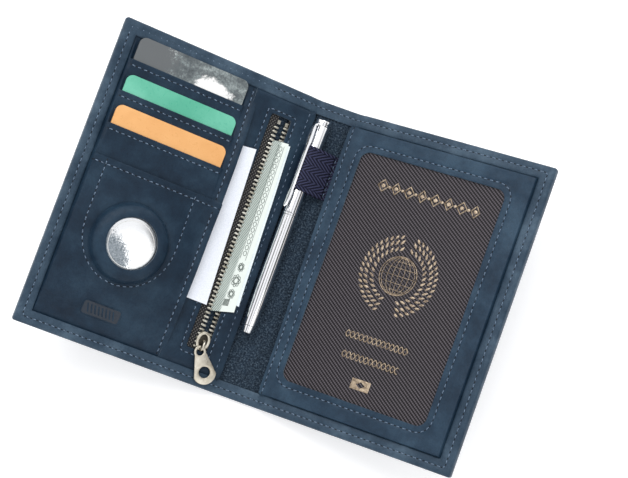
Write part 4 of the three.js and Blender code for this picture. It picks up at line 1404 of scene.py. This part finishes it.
def passport_print():
    """Generic gold ornament: a band of lozenges, a globe in a wreath, two rows of crossed waves, a tab."""
    pieces = []
    band_v = 113.9
    for k in range(8):
        u = 22.9 + k * 6.57
        half = 2.0 if k % 2 else 2.5
        corners = [(u - half, band_v), (u, band_v + 2.8), (u + half, band_v), (u, band_v - 2.8)]
        pieces.append(gilt("outer", corners, 0.4, True))
        pieces.append(gilt_leaf(u - 1.1, band_v, 2.2, 1.0, 0))
        if k:
            pieces.append(gilt_leaf(u - 4.1, band_v, 1.6, 0.7, 0))
    centre = (44.4, 76.5)
    for k in range(-3, 4):
        across = 8.6 * math.cos(k * 0.42)
        route = [(centre[0] + k * 2.6 * math.cos(t), centre[1] + 8.6 * math.sin(t))
                 for t in np.linspace(-math.pi / 2, math.pi / 2, 14)]
        pieces.append(gilt("meridian", route, 0.15))
        height = centre[1] + 8.6 * math.sin(k * 0.42)
        pieces.append(gilt("parallel", [(centre[0] - across, height), (centre[0] + across, height)], 0.13))
    pieces.append(gilt("globe", oval(centre, 8.9, 8.9, 48), 0.22, True))
    for side in (-1, 1):
        for ring, count, size in ((11.4, 14, 2.9), (14.4, 17, 3.1), (17.0, 19, 2.6)):
            for k in range(count):
                a = -math.pi / 2 + side * math.radians(14 + k * 150 / (count - 1))
                u, v = centre[0] + ring * math.cos(a), centre[1] + ring * math.sin(a)
                pieces.append(gilt_leaf(u, v, size, 0.55, a + side * 0.85))
    for row_v, low, high in ((45.4, 30, 61), (36.2, 31.5, 59.5)):
        for phase in (0, math.pi):
            wave = [(u, row_v + 1.5 * math.sin(phase + (u - low) * 2 * math.pi / 4.4))
                    for u in np.linspace(low, high, 90)]
            pieces.append(gilt("guilloche", wave, 0.26))
    tab = rounded_loop((40.4, 22.6), (49.6, 27.4), 0.3, 4, 3)
    lozenge = [(42.7, 25), (45, 23.6), (47.3, 25), (45, 26.4)]
    pieces.append(flat_shape("tab", [tab, lozenge], 0.08, 0.02, MAT["gold"], flat_on(1, 5.18)))
    obj = merge("passport_gold_print", pieces)
    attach(obj, "right_cover")


window_panel()
passport_print()
recolour("passport_front_cover", "book", 0.15)
recolour("passport_back_cover", "book", 0.15)
recolour("passport_pages", "paper", 0.1)
recolour("tag_circuit_board", "pcb", 0.1)
recolour("tag_battery", "nickel", 0.2)


# ------------------------------------------------------------------ pen and its elastic loop
PEN = (-4.8, 6.1)  # x and z of its axis
CLIP_ANGLE = 130  # round the pen, from +X through +Z


def on_pen(name, profile, material, segments=72):
    return lathe(name, profile, (PEN[0], -PAGE_H / 2, PEN[1]), (0, 1, 0), material, segments)


def pen():
    """A slim twist pen in polished metal, in the same pieces as the frame's pen."""
    chrome = MAT["chrome"]
    upper = on_pen("pen_upper_barrel_metal", [
        (2.7, 88.7), (3.38, 88.7), (3.5, 88.85), (3.5, 130.65), (3.4, 130.8), (2.1, 130.8), (2.1, 129.8),
        (2.7, 129.8)], chrome)
    finial = on_pen("pen_finial_metal", [
        (0.02, 128.6), (1.9, 128.6), (1.9, 132.05), (3.35, 132.05), (3.5, 132.2), (3.5, 133.1), (3.3, 133.55),
        (2.6, 133.85), (1.4, 134.0), (0.02, 134.0)], chrome)
    ring = on_pen("pen_ring_metal", [
        (2.75, 87.45), (3.5, 87.45), (3.64, 87.6), (3.64, 88.4), (3.5, 88.55), (2.75, 88.55)], chrome)
    lower = on_pen("pen_lower_barrel_metal", [
        (2.0, 34.0), (2.8, 34.0), (2.88, 34.2), (3.2, 42), (3.42, 50), (3.5, 56), (3.5, 87.15),
        (3.38, 87.3), (2.5, 87.3), (2.5, 46)], chrome)
    nozzle = on_pen("pen_nozzle_metal", [
        (1.2, 30.6), (2.15, 30.6), (2.3, 30.8), (2.8, 33.75), (2.7, 33.85), (1.9, 33.85), (1.2, 33)], chrome)
    refill = on_pen("pen_refill_tube", [(0.02, 38.2), (1.4, 38.2), (1.55, 38.4), (1.55, 101.8), (1.4, 102.0),
                                        (0.02, 102)], MAT["white"], 32)
    tip = on_pen("pen_refill_point", [(0.02, 35.3), (0.35, 35.35), (0.5, 35.6), (1, 37.2), (1, 38.05),
                                      (0.02, 38.05)], MAT["brass"], 32)
    for obj, body, node in ((upper, "pen", "pen_upper_barrel"), (finial, "pen", "pen_finial"),
                            (ring, "pen", "pen_centre_ring"), (lower, "pen_lower", "pen_lower_barrel"),
                            (nozzle, "pen_lower", "pen_nozzle"), (refill, "pen_refill", "pen_refill"),
                            (tip, "pen_refill", "pen_refill_tip")):
        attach(obj, body)
        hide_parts(node)
    recolour("pen_twist_sleeve", "brass", 0.1)


def pen_clip():
    """A sprung clip: a tapering strip, arched across its width, with a flared spoon at its foot."""
    angle = math.radians(CLIP_ANGLE)
    stations = [(131.4, 3.3, 0.5), (131.0, 4.15, 0.8), (130.0, 4.7, 1.15), (128.0, 5.05, 1.5),
                (125, 5.1, 1.75), (121.6, 5.05, 1.75), (119.5, 5.0, 1.2), (108, 5.0, 1.1), (99.5, 5.0, 1.15),
                (97.5, 5.05, 1.6), (94, 5.2, 1.6), (91.6, 5.5, 1.2), (90.2, 5.75, 0.6)]
    points = []
    for v, radius, half in stations:
        for k in np.linspace(-1, 1, 9):
            arch = 0.3 * (1 - k * k)
            points.append((k * half, v, radius + arch - 0.1))
        for k in np.linspace(1, -1, 9):
            points.append((k * half, v, radius - 0.42))
    c, s = math.cos(angle), math.sin(angle)
    places = []
    for across, v, radius in points:
        x = PEN[0] + radius * c + across * s
        z = PEN[1] + radius * s - across * c
        places.append((x, v - PAGE_H / 2, z))
    arm = sharpen(make("arm", places, capped(len(stations), 18), MAT["chrome"]), 50)
    collar = on_pen("collar", [(2.1, 130.95), (3.4, 130.95), (3.5, 131.05), (3.5, 131.8), (3.4, 131.9),
                               (2.1, 131.9)], MAT["chrome"])
    obj = merge("pen_clip_metal", [arm, collar])
    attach(obj, "pen")
    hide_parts("pen_clip")


def loop_section():
    """The strap's path round the pen in (x, z): out from under the window panel, over and back."""
    anchor_x, reach = 5.0, 3.78
    over = []
    for degrees in np.linspace(62, 298, 60):
        bulge = reach + 0.55 * math.exp(-(((degrees - 98) / 13) ** 2))
        a = math.radians(degrees)
        over.append((PEN[0] + bulge * math.cos(a), PEN[1] + bulge * math.sin(a)))
    tail = [(x, 1.6) for x in np.linspace(9.3, 5.5, 14)]
    rise = [(mix(anchor_x, over[0][0], t), mix(2.9, over[0][1], t) + 0.5 * math.sin(t * math.pi))
            for t in np.linspace(0, 1, 14)[:-1]]
    back = [(mix(over[-1][0], anchor_x, t), mix(over[-1][1], 1.75, t)) for t in np.linspace(0, 1, 14)[1:]]
    return np.array(tail + rise + over + back)


def pen_loop():
    """Woven elastic: slanting ribs over its face and a firm selvedge along both edges."""
    path = loop_section()
    run = run_along(path)
    at = np.linspace(0, run[-1], int(run[-1] / 0.16))
    centre = at_run(path, run, at)
    ahead = np.gradient(centre, axis=0)
    ahead /= np.hypot(*ahead.T)[:, None]
    normal = np.stack([ahead[:, 1], -ahead[:, 0]], -1)
    low, high, selvedge = 99.5, 120.5, 1.7
    rows_out, rows_in = [], []
    for v in np.linspace(low, high, 106):
        edge = min(v - low, high - v)
        chevron = abs((v - low) % 7 - 3.5) * 1.3
        wave = 0.5 + 0.5 * np.sin((at + chevron) * 2 * math.pi / 1.15)
        beads = 0.75 + 0.25 * math.sin(v * 2 * math.pi / 0.8)
        relief = 0.5 + 0.34 * wave * beads if edge > selvedge else 0.68 + 0.1 * math.sin(edge * 7)
        relief = relief - 0.32 * math.exp(-(((edge - selvedge) / 0.22) ** 2))
        relief = relief - 0.4 * math.exp(-((edge / 0.18) ** 2))
        sewn_flat = mix(0.62, 1.0, smooth(at, 3.6, 4.8))
        out = centre + normal * (relief * sewn_flat)[:, None]
        rows_out.append([(x, v - PAGE_H / 2, z) for x, z in out])
        rows_in.append([(x, v - PAGE_H / 2, z) for x, z in centre])
    points = [p for row in rows_out + rows_in for p in row]
    faces, walls = two_sided(len(rows_out), len(at))
    obj = make("pen_loop_elastic", points, faces + walls, MAT["elastic"])
    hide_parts("pen_loop")
    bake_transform(obj)


pen()
pen_clip()
pen_loop()
stitch_line("pen_loop_stitches", line((6.2, 100.5), (6.2, 119.5)), lambda s, v: 1.95, "spine")


# ------------------------------------------------------------------ camera, light and floor
# Dark bands of the room overhead, as (share of the way across from -X to +X, grey).
SKY_BANDS = [(0.0, 1.0), (0.2, 1.0), (0.25, 0.08), (0.31, 0.08), (0.34, 1.0), (0.56, 1.0), (0.58, 0.35),
             (0.62, 0.35), (0.64, 1.0), (0.8, 1.0), (0.86, 0.05), (0.93, 0.05), (0.96, 0.9)]
LAMPS = [("key", (-0.5, 0.5, 1.0), 0.7, 5.5), ("fill", (0.8, -0.4, 0.9), 0.9, 2.2),
         ("top", (0.1, 0.9, 0.8), 0.5, 2.0)]  # name, place, size, power


def camera():
    scene = bpy.context.scene
    obj = bpy.data.objects.new("camera", bpy.data.cameras.new("camera"))
    obj.data.lens = 105.37
    obj.data.sensor_width = 36
    obj.data.clip_end = 20
    obj.location = (0.04672, -0.07683, 0.83743)
    obj.rotation_euler = [math.radians(a) for a in (6.449, 0.399, 19.878)]
    scene.collection.objects.link(obj)
    scene.camera = obj
    scene.view_settings.view_transform = "Standard"


def sky():
    """A white room with darker bands overhead, which the polished metal mirrors."""
    world = bpy.data.worlds.new("studio")
    world.use_nodes = True
    tree = world.node_tree
    coordinates = tree.nodes.new("ShaderNodeTexCoord")
    towards = tree.nodes.new("ShaderNodeSeparateXYZ")
    half = tree.nodes.new("ShaderNodeMath")
    half.operation = "MULTIPLY_ADD"
    half.inputs[1].default_value = half.inputs[2].default_value = 0.5
    ramp = tree.nodes.new("ShaderNodeValToRGB")
    for at, _ in SKY_BANDS[1:-1]:
        ramp.color_ramp.elements.new(at)
    for element, (at, grey) in zip(ramp.color_ramp.elements, SKY_BANDS):
        element.position = at
        element.color = (grey, grey, grey * 1.02, 1)
    overhead = tree.nodes.new("ShaderNodeMapRange")
    overhead.inputs["From Min"].default_value = 0.3
    overhead.inputs["From Max"].default_value = 0.45
    mixed = tree.nodes.new("ShaderNodeMix")
    mixed.data_type = "RGBA"
    mixed.inputs[6].default_value = (1, 1, 1, 1)
    background = tree.nodes["Background"]
    background.inputs["Strength"].default_value = 1.0
    for source, target in ((coordinates.outputs["Generated"], towards.inputs[0]),
                           (towards.outputs["X"], half.inputs[0]),
                           (half.outputs["Value"], ramp.inputs["Fac"]),
                           (towards.outputs["Z"], overhead.inputs["Value"]),
                           (overhead.outputs["Result"], mixed.inputs[0]),
                           (ramp.outputs["Color"], mixed.inputs[7]),
                           (mixed.outputs[2], background.inputs["Color"])):
        tree.links.new(source, target)
    bpy.context.scene.world = world


def lamps():
    for name, place, size, power in LAMPS:
        lamp = bpy.data.lights.new(name, "AREA")
        lamp.shape = "DISK"
        lamp.size = size
        lamp.energy = power
        obj = bpy.data.objects.new(name, lamp)
        obj.location = place
        obj.rotation_euler = (-Vector(place)).to_track_quat("-Z", "Y").to_euler()
        bpy.context.scene.collection.objects.link(obj)


def floor():
    size = 3000
    points = [(-size, -size, -0.2), (size, -size, -0.2), (size, size, -0.2), (-size, size, -0.2)]
    obj = make("floor", points, [(0, 1, 2, 3)], floor_paint("floor_paint"))


camera()
sky()
lamps()
floor()
